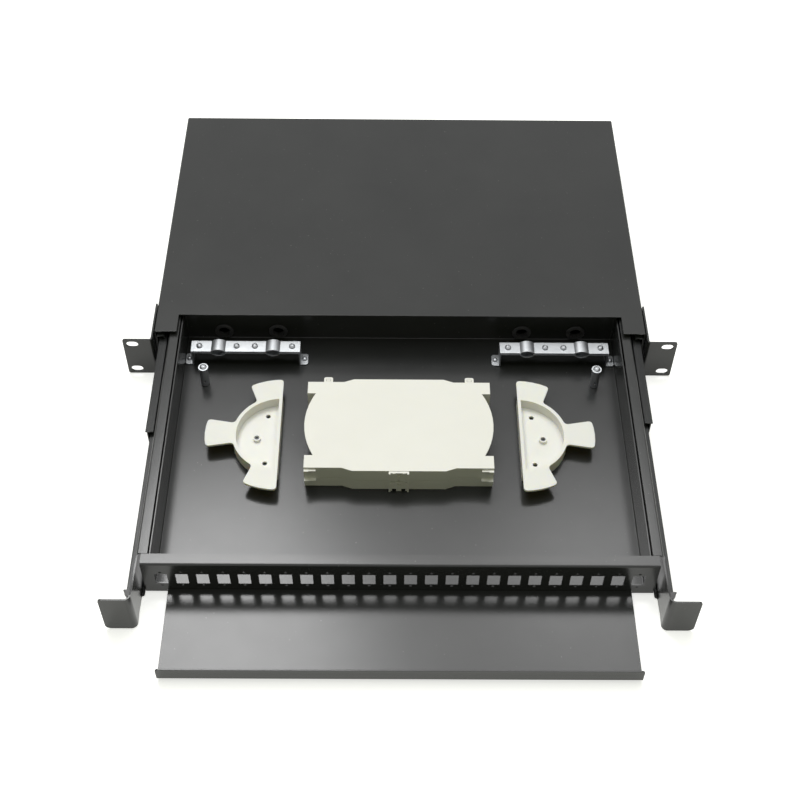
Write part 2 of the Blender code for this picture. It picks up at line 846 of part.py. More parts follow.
# Drawer pan: floor, side walls, rear wall and the front tray with its lip, folded from one sheet
wall = PAN_HALF - SHEET / 2
floor = DRAWER_FLOOR_TOP - SHEET / 2
rear = DRAWER_REAR - SHEET / 2
pan_front = PANEL_FACE + SHEET + SEAT
lip = LIP_FACE + SHEET / 2
rim = DRAWER_TOP - SHEET - SEAT
rise = (0.0, 0.0, rim - floor)
pan = grid([-wall, -TRAY_HALF, TRAY_HALF, wall], [pan_front, rear], floor)
flange(pan, lambda p: same(abs(p.x), wall), rise)
flange(pan, lambda p: same(p.y, rear) and same(p.z, floor), rise)
flange(
    pan,
    lambda p: same(p.y, pan_front) and same(p.z, floor) and same(abs(p.x), TRAY_HALF),
    (0.0, lip - pan_front, 0.0),
)
flange(pan, lambda p: same(p.y, lip), (0.0, 0.0, LIP_TOP - floor))
hole_offsets = [PAN_INNER - inset for inset in REAR_HOLE_INSETS]
hole_spots = [
    (side * offset, DRAWER_REAR, REAR_HOLE_HEIGHT) for side in (-1, 1) for offset in hole_offsets
]
sheet_metal(
    "drawer_pan",
    pan,
    SHEET,
    POWDER,
    cuts=(rods(hole_spots, REAR_HOLE_DIAMETER / 2, 4 * SHEET, "Y", 20),),
)

# Grommets in the four cable holes of the rear wall
groove = REAR_HOLE_DIAMETER / 2 - PLAY
collar = min(groove + GROMMET_COLLAR, REAR_HOLE_HEIGHT - DRAWER_FLOOR_TOP - 2 * SEAT)
bore = groove - GROMMET_WALL
inner_face = SHEET / 2 + SEAT
outer_face = inner_face + GROMMET_LIP
for name, side in SIDES:
    for number, offset in enumerate(hole_offsets, 1):
        profile = [
            (bore, outer_face),
            (collar - GROMMET_LIP / 3, outer_face),
            (collar, outer_face - GROMMET_LIP / 3),
            (collar, inner_face),
            (groove, inner_face),
            (groove, -inner_face),
            (collar, -inner_face),
            (collar, -outer_face),
            (bore, -outer_face),
        ]
        turned(
            f"cable_grommet_{name}_{number}",
            profile,
            16,
            (side * offset, DRAWER_REAR - SHEET / 2, REAR_HOLE_HEIGHT),
            (0, -1, 0),
            RUBBER,
            closed=True,
        )

# Adapter panel: a face with the port row and a flange folded back along its top
face = PANEL_FACE + SHEET / 2
panel_top = DRAWER_TOP - SHEET / 2
line = [
    (face, DRAWER_FLOOR_TOP + SEAT),
    (face, panel_top),
    (PANEL_FACE + PANEL_FLANGE, panel_top),
]
columns = [(i - (PORT_COUNT - 1) / 2) * PORT_PITCH for i in range(PORT_COUNT)]
ports = [
    rectangle(
        x - PORT_WIDTH / 2,
        PORT_CENTRE_HEIGHT - PORT_HEIGHT / 2,
        x + PORT_WIDTH / 2,
        PORT_CENTRE_HEIGHT + PORT_HEIGHT / 2,
    )
    for x in columns
]
port_screws = [
    (x, face, PORT_CENTRE_HEIGHT + up * PORT_SCREW_SPACING / 2) for x in columns for up in (-1, 1)
]
make(
    "adapter_panel",
    drawn([band(filleted(line, BEND_RADIUS), SHEET)], -PANEL_HALF, PANEL_HALF, "X"),
    POWDER,
    cuts=(
        drawn(ports, PANEL_FACE - OVERSHOOT, PANEL_FACE + SHEET + OVERSHOOT, "Y"),
        rods(port_screws, PORT_SCREW_DIAMETER / 2, 4 * SHEET, "Y", 6),
    ),
)

# Side channels: a plate with two inward flanges, bent out at the front into the handle flange
plate = CHANNEL_HALF - SHEET / 2
low = CHANNEL_LOW + SHEET / 2
high = DRAWER_TOP - SHEET / 2
back = DRAWER_REAR - CHANNEL_SETBACK
fore = PANEL_FACE + PANEL_FLANGE + SEAT
bend_start = HANDLE_FACE + SHEET / 2 + HANDLE_BEND
for name, side in SIDES:
    channel = grid([plate, FLANGE_INNER], [fore, back], high)
    flange(channel, lambda p: same(p.x, plate), (0.0, 0.0, low - high))
    flange(channel, lambda p: same(p.z, low), (-CHANNEL_BOTTOM_FLANGE, 0.0, 0.0))
    flange(
        channel,
        lambda p: same(p.y, fore) and same(p.x, plate),
        (0.0, bend_start - fore, 0.0),
    )
    edge = rim_edges(channel, lambda p: same(p.y, bend_start) and same(p.x, plate))
    bmesh.ops.spin(
        channel,
        geom=edge,
        cent=(plate + HANDLE_BEND, bend_start, 0.0),
        axis=(0.0, 0.0, 1.0),
        angle=math.radians(90),
        steps=4,
        use_duplicate=False,
    )
    end = plate + HANDLE_BEND
    flange(
        channel,
        lambda p: same(p.x, end) and same(p.y, bend_start - HANDLE_BEND),
        (HANDLE_OUTER - end, 0.0, 0.0),
    )
    corners = [
        corner_cut(side * HANDLE_OUTER, CHANNEL_LOW, HANDLE_CORNER, side, -1),
        corner_cut(side * HANDLE_OUTER, DRAWER_TOP, HANDLE_TOP_CORNER, side, 1),
    ]
    sheet_metal(
        f"side_channel_{name}",
        channel,
        SHEET,
        POWDER,
        cuts=(drawn(corners, HANDLE_FACE - OVERSHOOT, HANDLE_FACE + SHEET + OVERSHOOT, "Y"),),
        mirrored=side < 0,
    )

# Spring catches behind the handle flanges
for name, side in SIDES:
    x = CHANNEL_HALF + SEAT
    outline = [
        (x, bend_start + CATCH_DEPTH * 0.4),
        (x, bend_start),
        (x + CATCH_REACH * 0.2, bend_start - CATCH_DEPTH * 0.6),
        (x + CATCH_REACH * 0.8, bend_start - CATCH_DEPTH * 0.6),
        (x + CATCH_REACH, bend_start - CATCH_DEPTH * 0.3),
        (x + CATCH_REACH * 0.9, bend_start),
        (x + CATCH_REACH * 0.45, bend_start + CATCH_DEPTH * 0.4),
    ]
    catch_top = DRAWER_TOP - CATCH_DROP
    make(
        f"drawer_catch_{name}",
        drawn([sided(outline, side)], catch_top - CATCH_HEIGHT, catch_top),
        CATCH,
    )

# Cable clamps: a bridge with feet and shallow saddles, and a bar that closes over the cables
clamp_x = PAN_INNER - CLAMP_INSET
upper = CLAMP_TOP - CLAMP_SHEET / 2
lower = upper - CLAMP_SHEET - CLAMP_OPEN
foot = DRAWER_FLOOR_TOP + SEAT + CLAMP_SHEET / 2
clamp_near = CLAMP_CENTRE - CLAMP_DEPTH / 2
clamp_far = CLAMP_CENTRE + CLAMP_DEPTH / 2
leg_x = CLAMP_BAR_LENGTH / 2 - CLAMP_SHEET / 2
foot_end = leg_x + CLAMP_FOOT
foot_x = (leg_x + CLAMP_SHEET / 2 + foot_end) / 2
saddle_angle = math.degrees(math.acos(1 - SADDLE_RISE / SADDLE_RADIUS))
saddle_half = SADDLE_RADIUS * math.sin(math.radians(saddle_angle))


def saddle_line(height, direction):
    """The clamp's line between its ends, with two shallow saddles up or down."""
    bow = arc(0.0, SADDLE_RISE - SADDLE_RADIUS, SADDLE_RADIUS, 90 + saddle_angle, 90 - saddle_angle, 6)
    points = []
    for centre in (-SADDLE_OFFSET, SADDLE_OFFSET):
        points.append((centre - saddle_half - CLAMP_SHEET, height))
        points += [(centre + u, height + direction * v) for u, v in bow]
        points.append((centre + saddle_half + CLAMP_SHEET, height))
    return points


for name, side in SIDES:
    middle = side * clamp_x
    screw_x = sorted(middle + s * offset for offset in CLAMP_SCREW_OFFSETS for s in (-1, 1))
    feet_x = [middle - foot_x, middle + foot_x]
    line = [(-foot_end, foot), (-leg_x, foot), (-leg_x, lower)]
    line += saddle_line(lower, -1)
    line += [(leg_x, lower), (leg_x, foot), (foot_end, foot)]
    base = [(middle + u, v) for u, v in band(line, CLAMP_SHEET)]
    hole_radius = CLAMP_SCREW_DIAMETER / 2 + PLAY
    low_spots = [(x, CLAMP_CENTRE, lower) for x in screw_x]
    high_spots = [(x, CLAMP_CENTRE, upper) for x in screw_x]
    foot_spots = [(x, CLAMP_CENTRE, foot) for x in feet_x]
    corners = [
        corner_cut(middle + s * foot_end, depth, CLAMP_FOOT_CORNER, s, t)
        for s in (-1, 1)
        for depth, t in ((clamp_near, -1), (clamp_far, 1))
    ]
    make(
        f"clamp_base_{name}",
        drawn([base], clamp_near, clamp_far, "Y"),
        ZINC,
        cuts=(
            rods(low_spots, hole_radius, 3 * CLAMP_SHEET, "Z", 10),
            rods(foot_spots, FOOT_SCREW_DIAMETER / 2 + PLAY, 3 * CLAMP_SHEET, "Z", 10),
            drawn(corners, foot - CLAMP_SHEET, foot + CLAMP_SHEET),
        ),
    )
    ends = CLAMP_BAR_LENGTH / 2
    line = [(-ends, upper)] + saddle_line(upper, 1) + [(ends, upper)]
    bar = [(middle + u, v) for u, v in band(line, CLAMP_SHEET)]
    make(
        f"clamp_bar_{name}",
        drawn([bar], clamp_near, clamp_far, "Y"),
        ZINC,
        cuts=(rods(high_spots, hole_radius, 3 * CLAMP_SHEET, "Z", 10),),
    )
    seat = CLAMP_TOP + SEAT
    tip = lower - CLAMP_SHEET / 2 - CLAMP_SCREW_TAIL
    profile = screw_line(seat, CLAMP_SCREW_HEAD, CLAMP_SCREW_RISE, CLAMP_SCREW_DIAMETER, tip)
    for number, x in enumerate(screw_x, 1):
        drive = drawn(
            [cross(x, CLAMP_CENTRE, CLAMP_SCREW_HEAD / 2, DRIVE_WIDTH)],
            seat + CLAMP_SCREW_RISE - DRIVE_DEPTH,
            seat + CLAMP_SCREW_RISE + OVERSHOOT,
        )
        turned(
            f"clamp_screw_{name}_{number}",
            profile,
            12,
            (x, CLAMP_CENTRE, 0.0),
            finish=ZINC,
            cuts=(drive,),
        )
    foot_top = foot + CLAMP_SHEET / 2 + SEAT
    foot_low = foot - CLAMP_SHEET / 2
    profile = screw_line(foot_top, FOOT_SCREW_HEAD, FOOT_SCREW_RISE, FOOT_SCREW_DIAMETER, foot_low)
    for number, x in enumerate(feet_x, 1):
        turned(f"foot_screw_{name}_{number}", profile, 12, (x, CLAMP_CENTRE, 0.0), finish=ZINC)

# Strength member posts, each with a cross hole and a domed screw with a washer on top
post_x = PAN_INNER - POST_INSET
for name, side in SIDES:
    base = DRAWER_FLOOR_TOP + SEAT
    bore = POST_SCREW_DIAMETER / 2 + PLAY
    centre = (side * post_x, POST_DEPTH, 0.0)
    profile = [
        (0.0, POST_TOP - POST_THREAD),
        (bore, POST_TOP - POST_THREAD),
        (bore, POST_TOP),
        (POST_DIAMETER / 2, POST_TOP),
        (POST_DIAMETER / 2, base),
        (0.0, base),
    ]
    through = rods(
        [(side * post_x, POST_DEPTH, (base + POST_TOP - POST_THREAD) / 2)],
        POST_CROSS_DIAMETER / 2,
        2 * POST_DIAMETER,
        "Y",
        8,
    )
    turned(f"strength_post_{name}", profile, 16, centre, finish=ZINC, cuts=(through,))
    washer_low = POST_TOP + SEAT
    washer_top = washer_low + POST_WASHER_SHEET
    tip = POST_TOP - POST_THREAD + SEAT
    profile = dome_line(washer_top, POST_SCREW_HEAD, POST_SCREW_RISE) + [
        (POST_WASHER / 2, washer_top),
        (POST_WASHER / 2, washer_low),
        (POST_SCREW_DIAMETER / 2, washer_low),
        (POST_SCREW_DIAMETER / 2, tip),
        (0.0, tip),
    ]
    drive = drawn(
        [cross(side * post_x, POST_DEPTH, POST_SCREW_HEAD / 2, DRIVE_WIDTH)],
        washer_top + POST_SCREW_RISE - DRIVE_DEPTH,
        washer_top + POST_SCREW_RISE + OVERSHOOT,
    )
    turned(f"post_screw_{name}", profile, 16, centre, finish=ZINC, cuts=(drive,))

# Fibre spools: a half-round cup with a boss, and three wings that keep the fibre loops down
rim_radius = SPOOL_BORE + SPOOL_WALL
end = 90 - SPOOL_END_ANGLE
neck = SPOOL_SIDE_ANGLE + SPOOL_NECK_ANGLE / 2


def wing_arc(radius, start, finish, steps, first, last):
    """An arc of the spool's outline, with the corner radius at its first and last point."""
    points = arc(0.0, 0.0, radius, start, finish, steps)
    return [(u, v, corner) for (u, v), corner in zip(points, [first] + [0] * (steps - 1) + [last])]


wings = wing_arc(SPOOL_END_WING, 90, end, 4, SPOOL_TIP_RADIUS, SPOOL_TIP_RADIUS)
wings += wing_arc(rim_radius, end - SPOOL_NECK_ANGLE, neck, 7, SPOOL_NECK_RADIUS, SPOOL_NECK_RADIUS)
wings += wing_arc(SPOOL_SIDE_WING, SPOOL_SIDE_ANGLE, 0, 2, SPOOL_TIP_RADIUS, 0)
wings += [(u, -v, corner) for u, v, corner in wings[-2::-1]]
flange_plan = rounded(wings)
drum = arc(0.0, 0.0, rim_radius, 90, -90, 20)
cup_end = math.degrees(math.acos(SPOOL_EDGE_WALL / SPOOL_BORE))
cup = arc(0.0, 0.0, SPOOL_BORE, cup_end, -cup_end, 20)
for name, side in SIDES:
    base = DRAWER_FLOOR_TOP + SEAT

    def out(points):
        return [(side * (SPOOL_EDGE + u), SPOOL_DEPTH + v) for u, v in points]

    fixing = out([(SPOOL_HOLE_INSET, -SPOOL_HOLE_SPREAD), (SPOOL_HOLE_INSET, SPOOL_HOLE_SPREAD)])
    screw_at = out([(SPOOL_SCREW_INSET, 0.0)])[0]
    boss_top = base + SPOOL_FLOOR + SPOOL_BOSS_RISE
    bore_low = base + SPOOL_FLOOR - SPOOL_COUNTERBORE
    bore_high = boss_top + OVERSHOOT
    boss_low = base + SPOOL_FLOOR / 2
    boss = rods([(*screw_at, (boss_low + boss_top) / 2)], SPOOL_BOSS / 2, boss_top - boss_low, steps=16)
    bore = rods(
        [(*screw_at, (bore_low + bore_high) / 2)],
        SPOOL_SCREW_HEAD / 2 + PLAY,
        bore_high - bore_low,
    )
    make(
        f"fibre_spool_{name}",
        drawn([out(flange_plan)], SPOOL_TOP - SPOOL_FLANGE, SPOOL_TOP),
        WHITE,
        steps=[
            ("UNION", drawn([out(drum)], base, SPOOL_TOP - SPOOL_FLANGE / 2)),
            ("DIFFERENCE", drawn([out(cup)], base + SPOOL_FLOOR, SPOOL_TOP + OVERSHOOT)),
            ("UNION", boss),
            ("DIFFERENCE", bore),
            ("DIFFERENCE", rods([(*p, base) for p in fixing], SPOOL_HOLE_DIAMETER / 2, 4 * SPOOL_FLOOR)),
            ("DIFFERENCE", rods([(*screw_at, base)], SPOOL_SCREW_DIAMETER / 2 + PLAY, 4 * SPOOL_FLOOR)),
        ],
    )
    seat = bore_low + SEAT
    head_top = seat + SPOOL_SCREW_RISE
    profile = [
        (0.0, head_top),
        (SPOOL_SCREW_HEAD / 2, head_top),
        (SPOOL_SCREW_HEAD / 2, seat),
        (SPOOL_SCREW_DIAMETER / 2, seat),
        (SPOOL_SCREW_DIAMETER / 2, base),
        (0.0, base),
    ]
    socket = rods([(*screw_at, head_top)], SPOOL_SOCKET / 2, 2 * SPOOL_SOCKET_DEPTH, steps=6)
    turned(f"spool_screw_{name}", profile, 12, (*screw_at, 0.0), finish=ZINC, cuts=(socket,))

# Splice trays: two stacked trays and a lid that snaps on in front and drops over two hooks behind
half_x = SPOOL_EDGE - TRAY_SPACE
half_y = TRAY_WIDTH / 2
notch_x = half_x - TRAY_NOTCH_DEPTH
bulge_end = half_x - TRAY_SHOULDER
bulge_flat = max(bulge_end - TRAY_SLOPE, bulge_end / 2)


def tray_plan(side_line, loop=()):
    """The plan of a tray or lid from its right side line, front to back, and its right rear loop."""
    right = [(half_x, -half_y)] + side_line + [(half_x, half_y)] + list(loop)
    left = [(-u, v) for u, v in right[::-1]]
    rear_line = [
        (bulge_end, half_y),
        (bulge_flat, half_y + TRAY_BULGE),
        (-bulge_flat, half_y + TRAY_BULGE),
        (-bulge_end, half_y),
    ]
    front_line = [(-u, -v) for u, v in rear_line]
    return [(TRAY_X + u, TRAY_DEPTH + v) for u, v in right + rear_line + left + front_line]


recess = [(half_x, -TRAY_NOTCH), (notch_x, -TRAY_NOTCH), (notch_x, TRAY_NOTCH), (half_x, TRAY_NOTCH)]
sagitta = TRAY_NOTCH_DEPTH + LID_ARC_PROUD
arc_radius = (TRAY_NOTCH**2 + sagitta**2) / (2 * sagitta)
arc_angle = math.degrees(math.asin(TRAY_NOTCH / arc_radius))
arc_line = arc(half_x + LID_ARC_PROUD - arc_radius, 0.0, arc_radius, -arc_angle, arc_angle, 10)
plan = tray_plan(recess)
cavity = offset_line(plan, TRAY_WALL, closed=True)
front_edge = TRAY_DEPTH - half_y - TRAY_BULGE
clip_front = front_edge - CLIP_PROUD
lower_base = DRAWER_FLOOR_TOP + SEAT
upper_base = lower_base + TRAY_HEIGHT + SEAT
lid_base = upper_base + TRAY_HEIGHT + SEAT
lid_top = lid_base + LID_SHEET
loop_x = half_x - LOOP_INSET
loop_near = half_y + LOOP_GAP
loop_far = half_y + LOOP_REACH - LOOP_BAR
hook_half = LOOP_WIDTH / 2 - LOOP_BAR - PLAY
guide_x = max(half_x - GUIDE_INSET, SPLICE_RIBS * SPLICE_RIB_PITCH / 2)


def clip_plan(behind):
    """The plan of the front clip, with a rib down each side, back to the given depth."""
    ribbed = clip_front - CLIP_RIB_PROUD
    w = CLIP_WIDTH / 2
    right = [(w - CLIP_RIB, clip_front), (w - CLIP_RIB, ribbed), (w, ribbed), (w, behind)]
    return [(TRAY_X + u, v) for u, v in right + [(-u, v) for u, v in right[::-1]]]


def clip_hole(height):
    return rods([(TRAY_X, clip_front, height)], CLIP_HOLE_DIAMETER / 2, 1.2 * CLIP_PROUD, "Y", 10)


def stack_boxes(near, far, low, high, proud):
    """A box at each front corner, from one distance to another in from the tray's end."""
    front = TRAY_DEPTH - half_y
    return [
        (
            (TRAY_X + min(side * (half_x - near), side * (half_x - far)), front - proud, low),
            (TRAY_X + max(side * (half_x - near), side * (half_x - far)), front + TRAY_WALL / 2, high),
        )
        for side in (-1, 1)
    ]


for name, base in (("lower", lower_base), ("upper", upper_base)):
    top = base + TRAY_HEIGHT
    clip_top = top if name == "lower" else top - TONGUE_DROP - SEAT
    ledge = top - STACK_DROP
    fins = [
        box
        for near in STACK_FINS
        for box in stack_boxes(
            near,
            near + STACK_FIN,
            ledge - STACK_FIN_HEIGHT,
            ledge - STACK_SHEET / 2,
            STACK_FIN_PROUD,
        )
    ]
    ribs = []
    for k in range(SPLICE_RIBS):
        x = TRAY_X + (k - (SPLICE_RIBS - 1) / 2) * SPLICE_RIB_PITCH
        reach = SPLICE_RIB_LENGTH / 2
        rib_top = base + TRAY_FLOOR + SPLICE_RIB_RISE
        ribs.append(
            (
                (x - SPLICE_RIB / 2, TRAY_DEPTH - reach, base + TRAY_FLOOR / 2),
                (x + SPLICE_RIB / 2, TRAY_DEPTH + reach, rib_top),
            )
        )
    rings = []
    for side in (-1, 1):
        start = 90 if side < 0 else -90
        ring = arc(TRAY_X + side * guide_x, TRAY_DEPTH, GUIDE_RADIUS, start, start + 180, 8)
        rings.append(band(ring, TRAY_WALL))
    steps = [
        ("DIFFERENCE", drawn([cavity], base + TRAY_FLOOR, top + OVERSHOOT)),
        ("UNION", boxes(ribs)),
        ("UNION", drawn(rings, base + TRAY_FLOOR / 2, base + TRAY_FLOOR + GUIDE_RISE)),
        ("UNION", drawn([clip_plan(front_edge + TRAY_WALL / 2)], base, clip_top)),
        ("UNION", boxes(stack_boxes(STACK_INSET, STACK_LENGTH, ledge - STACK_SHEET, ledge, STACK_PROUD))),
        (
            "UNION",
            boxes(
                stack_boxes(
                    STACK_INSET / 2,
                    STACK_KNOB,
                    ledge - STACK_KNOB_HEIGHT,
                    ledge + STACK_DROP / 2,
                    STACK_KNOB_PROUD,
                )
            ),
        ),
        ("UNION", boxes(fins)),
    ]
    if name == "lower":
        steps.append(("DIFFERENCE", clip_hole(top - CLIP_HOLE_DROP)))
        feet = [
            (
                (
                    TRAY_X + side * CLIP_FOOT_OFFSET - CLIP_FOOT_WIDTH / 2,
                    clip_front - OVERSHOOT,
                    base - OVERSHOOT,
                ),
                (
                    TRAY_X + side * CLIP_FOOT_OFFSET + CLIP_FOOT_WIDTH / 2,
                    clip_front + CLIP_FOOT_DEPTH,
                    base + CLIP_FOOT_HEIGHT,
                ),
            )
            for side in (-1, 1)
        ]
        steps.append(("DIFFERENCE", boxes(feet)))
    else:
        hook = [
            (TRAY_DEPTH + half_y - TRAY_WALL / 2, top - HOOK_DROP),
            (TRAY_DEPTH + loop_far - PLAY, top - HOOK_DROP),
            (TRAY_DEPTH + loop_far - PLAY, lid_top),
            (TRAY_DEPTH + loop_near + PLAY, lid_top),
            (TRAY_DEPTH + loop_near + PLAY, top - TRAY_FLOOR / 2),
            (TRAY_DEPTH + half_y - TRAY_WALL / 2, top - TRAY_FLOOR / 2),
        ]
        for side in (-1, 1):
            x = TRAY_X + side * loop_x
            steps.append(("UNION", drawn([hook], x - hook_half, x + hook_half, "X")))
    make(f"splice_tray_{name}", drawn([plan], base, top), WHITE, steps=steps)

# The lid's plate carries the two loops, and its tongue hangs in front of the upper tray
loop_line = [
    (loop_x + LOOP_WIDTH / 2, half_y),
    (loop_x + LOOP_WIDTH / 2, half_y + LOOP_REACH),
    (loop_x - LOOP_WIDTH / 2, half_y + LOOP_REACH),
    (loop_x - LOOP_WIDTH / 2, half_y),
]
lid_side = [(half_x, -TRAY_NOTCH)] + arc_line + [(half_x, TRAY_NOTCH)]
lid_plan = tray_plan(lid_side, filleted(loop_line, LOOP_CORNER))
eyes = []
for side in (-1, 1):
    x = TRAY_X + side * loop_x
    eye = LOOP_WIDTH / 2 - LOOP_BAR
    eyes.append(rectangle(x - eye, TRAY_DEPTH + loop_near, x + eye, TRAY_DEPTH + loop_far))
tongue_low = upper_base + TRAY_HEIGHT - TONGUE_DROP
tongue_top = lid_base + LID_SHEET * 0.75
bridge = (
    (TRAY_X - CLIP_WIDTH / 2 + SEAT, clip_front + CLIP_PROUD / 4, lid_base + LID_SHEET / 4),
    (TRAY_X + CLIP_WIDTH / 2 - SEAT, front_edge + TRAY_WALL, lid_base + LID_SHEET * 0.6),
)
pads = []
for side in (-1, 1):
    x = TRAY_X + side * TONGUE_PAD_OFFSET
    pads.append(
        (
            (x - TONGUE_PAD / 2, clip_front - TONGUE_PAD_PROUD, tongue_top - TONGUE_PAD),
            (x + TONGUE_PAD / 2, clip_front + CLIP_PROUD / 2, tongue_top - SEAT),
        )
    )
make(
    "splice_lid",
    drawn([lid_plan], lid_base, lid_top),
    WHITE,
    steps=[
        ("DIFFERENCE", drawn(eyes, lid_base - OVERSHOOT, lid_top + OVERSHOOT)),
        ("UNION", boxes([bridge])),
        ("UNION", drawn([clip_plan(front_edge - SEAT)], tongue_low, tongue_top)),
        ("UNION", boxes(pads)),
        ("DIFFERENCE", clip_hole(lid_base - SEAT - CLIP_HOLE_DROP)),
    ],
    origin=(TRAY_X, TRAY_DEPTH, lid_base),
)

# The origin goes under the middle of the whole object
shift = -(HOUSING_REAR + LIP_FACE) / 2
for obj in bpy.data.objects:
    obj.location.y += shift
bpy.context.view_layer.update()
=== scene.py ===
"""The looks of a 19-inch fibre termination box with its drawer pulled out.

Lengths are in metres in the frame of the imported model: X to the right, Y to the back, Z up.
"""

import json
import math

import bmesh
import bpy
from mathutils import Matrix, Vector


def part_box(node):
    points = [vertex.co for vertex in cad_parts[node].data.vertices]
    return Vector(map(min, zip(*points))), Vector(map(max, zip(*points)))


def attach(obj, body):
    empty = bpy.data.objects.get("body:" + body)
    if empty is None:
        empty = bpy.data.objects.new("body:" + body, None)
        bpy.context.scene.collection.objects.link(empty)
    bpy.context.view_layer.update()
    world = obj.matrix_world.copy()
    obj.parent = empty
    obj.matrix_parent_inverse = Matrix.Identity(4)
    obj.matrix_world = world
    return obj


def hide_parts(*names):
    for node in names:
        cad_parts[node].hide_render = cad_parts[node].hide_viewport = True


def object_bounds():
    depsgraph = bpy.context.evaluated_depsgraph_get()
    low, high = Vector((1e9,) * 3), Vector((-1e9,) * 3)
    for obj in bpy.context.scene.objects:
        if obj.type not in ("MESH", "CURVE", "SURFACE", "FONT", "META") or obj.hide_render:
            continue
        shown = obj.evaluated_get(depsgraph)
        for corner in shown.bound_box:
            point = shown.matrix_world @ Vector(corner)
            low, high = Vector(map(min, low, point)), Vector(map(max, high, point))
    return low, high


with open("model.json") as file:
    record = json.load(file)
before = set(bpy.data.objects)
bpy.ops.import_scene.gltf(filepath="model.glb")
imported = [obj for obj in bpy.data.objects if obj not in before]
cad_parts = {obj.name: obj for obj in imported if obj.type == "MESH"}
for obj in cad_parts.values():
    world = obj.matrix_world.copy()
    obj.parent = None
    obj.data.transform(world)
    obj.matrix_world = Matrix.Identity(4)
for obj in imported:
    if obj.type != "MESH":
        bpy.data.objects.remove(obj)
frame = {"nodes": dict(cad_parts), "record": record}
CAD_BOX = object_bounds()
NODES = frame["nodes"]
SLOTS = {part["node"]: part["material_slot"] for part in frame["record"]["subparts"]}
BODIES = {
    node: body for body, nodes in frame["record"]["behaviour"]["bodies"].items() for node in nodes
}
scene = bpy.context.scene

# Camera, as fitted to the photograph
CAMERA_SPOT = (-0.00859, -0.76478, 0.89211)
CAMERA_PITCH = 39.475
CAMERA_ROLL = -0.692
CAMERA_HEADING = 0.411
CAMERA_LENS = 59.18
SENSOR = 36.0

# Light: a wide panel overhead, one behind on the left, a weak one behind on the right and a dim
# surround. Each panel has its bearing from +Y towards +X and its elevation in degrees, and then its
# width, height and power
LAMP_DISTANCE = 2.2
LAMPS = {
    "overhead": (0.0, 80.0, 2.10, 1.75, 28.6),
    "key": (-27.0, 64.0, 0.60, 0.68, 14.2),
    "second": (27.0, 60.0, 0.40, 0.45, 2.2),
}
SURROUND = 0.24
SURROUND_TINT = (1.0, 1.06, 0.66)

# Floor: pale, and white to the camera where nothing shades it
FLOOR_SIZE = 12.0
FLOOR_ALBEDO = 0.80
FLOOR_LIFT = 0.66
FLOOR_DROP = 0.0005

# Surfaces
EDGE_ANGLE = 38
EDGE_SEGMENTS = 2
FLAT_ANGLE = 1.0
SHEET_EDGE = 0.00022
MOULDED_EDGE = 0.00035
SMALL_EDGE = 0.00012

# Points that lie this close together are one point
TOLERANCE = 1e-6

# The two colour inputs of a Mix node, and its colour output
MIX_FIRST = 6
MIX_SECOND = 7
MIX_RESULT = 2


class Surface:
    """A procedural material round one Principled shader, in the object's own coordinates."""

    def __init__(self, name):
        self.material = bpy.data.materials.new(name)
        self.material.use_nodes = True
        self.nodes = self.material.node_tree.nodes
        self.links = self.material.node_tree.links
        self.shader = self.nodes["Principled BSDF"]
        self.place = self.nodes.new("ShaderNodeTexCoord").outputs["Object"]
        self.height = None

    def add(self, kind, **values):
        node = self.nodes.new(kind)
        for key, value in values.items():
            setattr(node, key, value)
        return node

    def stretched(self, scale):
        """Coordinates stretched along the axes."""
        mapping = self.add("ShaderNodeMapping")
        mapping.inputs["Scale"].default_value = scale
        self.links.new(self.place, mapping.inputs["Vector"])
        return mapping.outputs["Vector"]

    def noise(self, scale, detail=2.0, roughness=0.5, place=None):
        node = self.add("ShaderNodeTexNoise")
        node.inputs["Scale"].default_value = scale
        node.inputs["Detail"].default_value = detail
        node.inputs["Roughness"].default_value = roughness
        self.links.new(place or self.place, node.inputs["Vector"])
        return node.outputs["Fac"]

    def ranged(self, value, low, high, start=0.3, end=0.7):
        """The value's range from start to end, spread from low to high."""
        node = self.add("ShaderNodeMapRange")
        node.inputs["From Min"].default_value = start
        node.inputs["From Max"].default_value = end
        node.inputs["To Min"].default_value = low
        node.inputs["To Max"].default_value = high
        self.links.new(value, node.inputs["Value"])
        return node.outputs["Result"]

    def mixed(self, factor, first, second):
        """A colour between two, each a colour or another output."""
        node = self.add("ShaderNodeMix", data_type="RGBA")
        self.links.new(factor, node.inputs["Factor"])
        for place, colour in ((MIX_FIRST, first), (MIX_SECOND, second)):
            if isinstance(colour, tuple):
                node.inputs[place].default_value = (*colour, 1.0)
            else:
                self.links.new(colour, node.inputs[place])
        return node.outputs[MIX_RESULT]

    def bump(self, value, depth):
        """Relief of a depth in metres, on top of the relief before it."""
        node = self.add("ShaderNodeBump")
        node.inputs["Distance"].default_value = depth
        self.links.new(value, node.inputs["Height"])
        if self.height is not None:
            self.links.new(self.height, node.inputs["Normal"])
        self.height = node.outputs["Normal"]
        self.links.new(self.height, self.shader.inputs["Normal"])

    def set(self, **values):
        """Shader inputs by name, with _ for a space: a number, a colour or another output."""
        for key, value in values.items():
            socket = self.shader.inputs[key.replace("_", " ")]
            if isinstance(value, bpy.types.NodeSocket):
                self.links.new(value, socket)
            elif isinstance(value, tuple) and len(value) == 3 and socket.type == "RGBA":
                socket.default_value = (*value, 1.0)
            else:
                socket.default_value = value
        return self


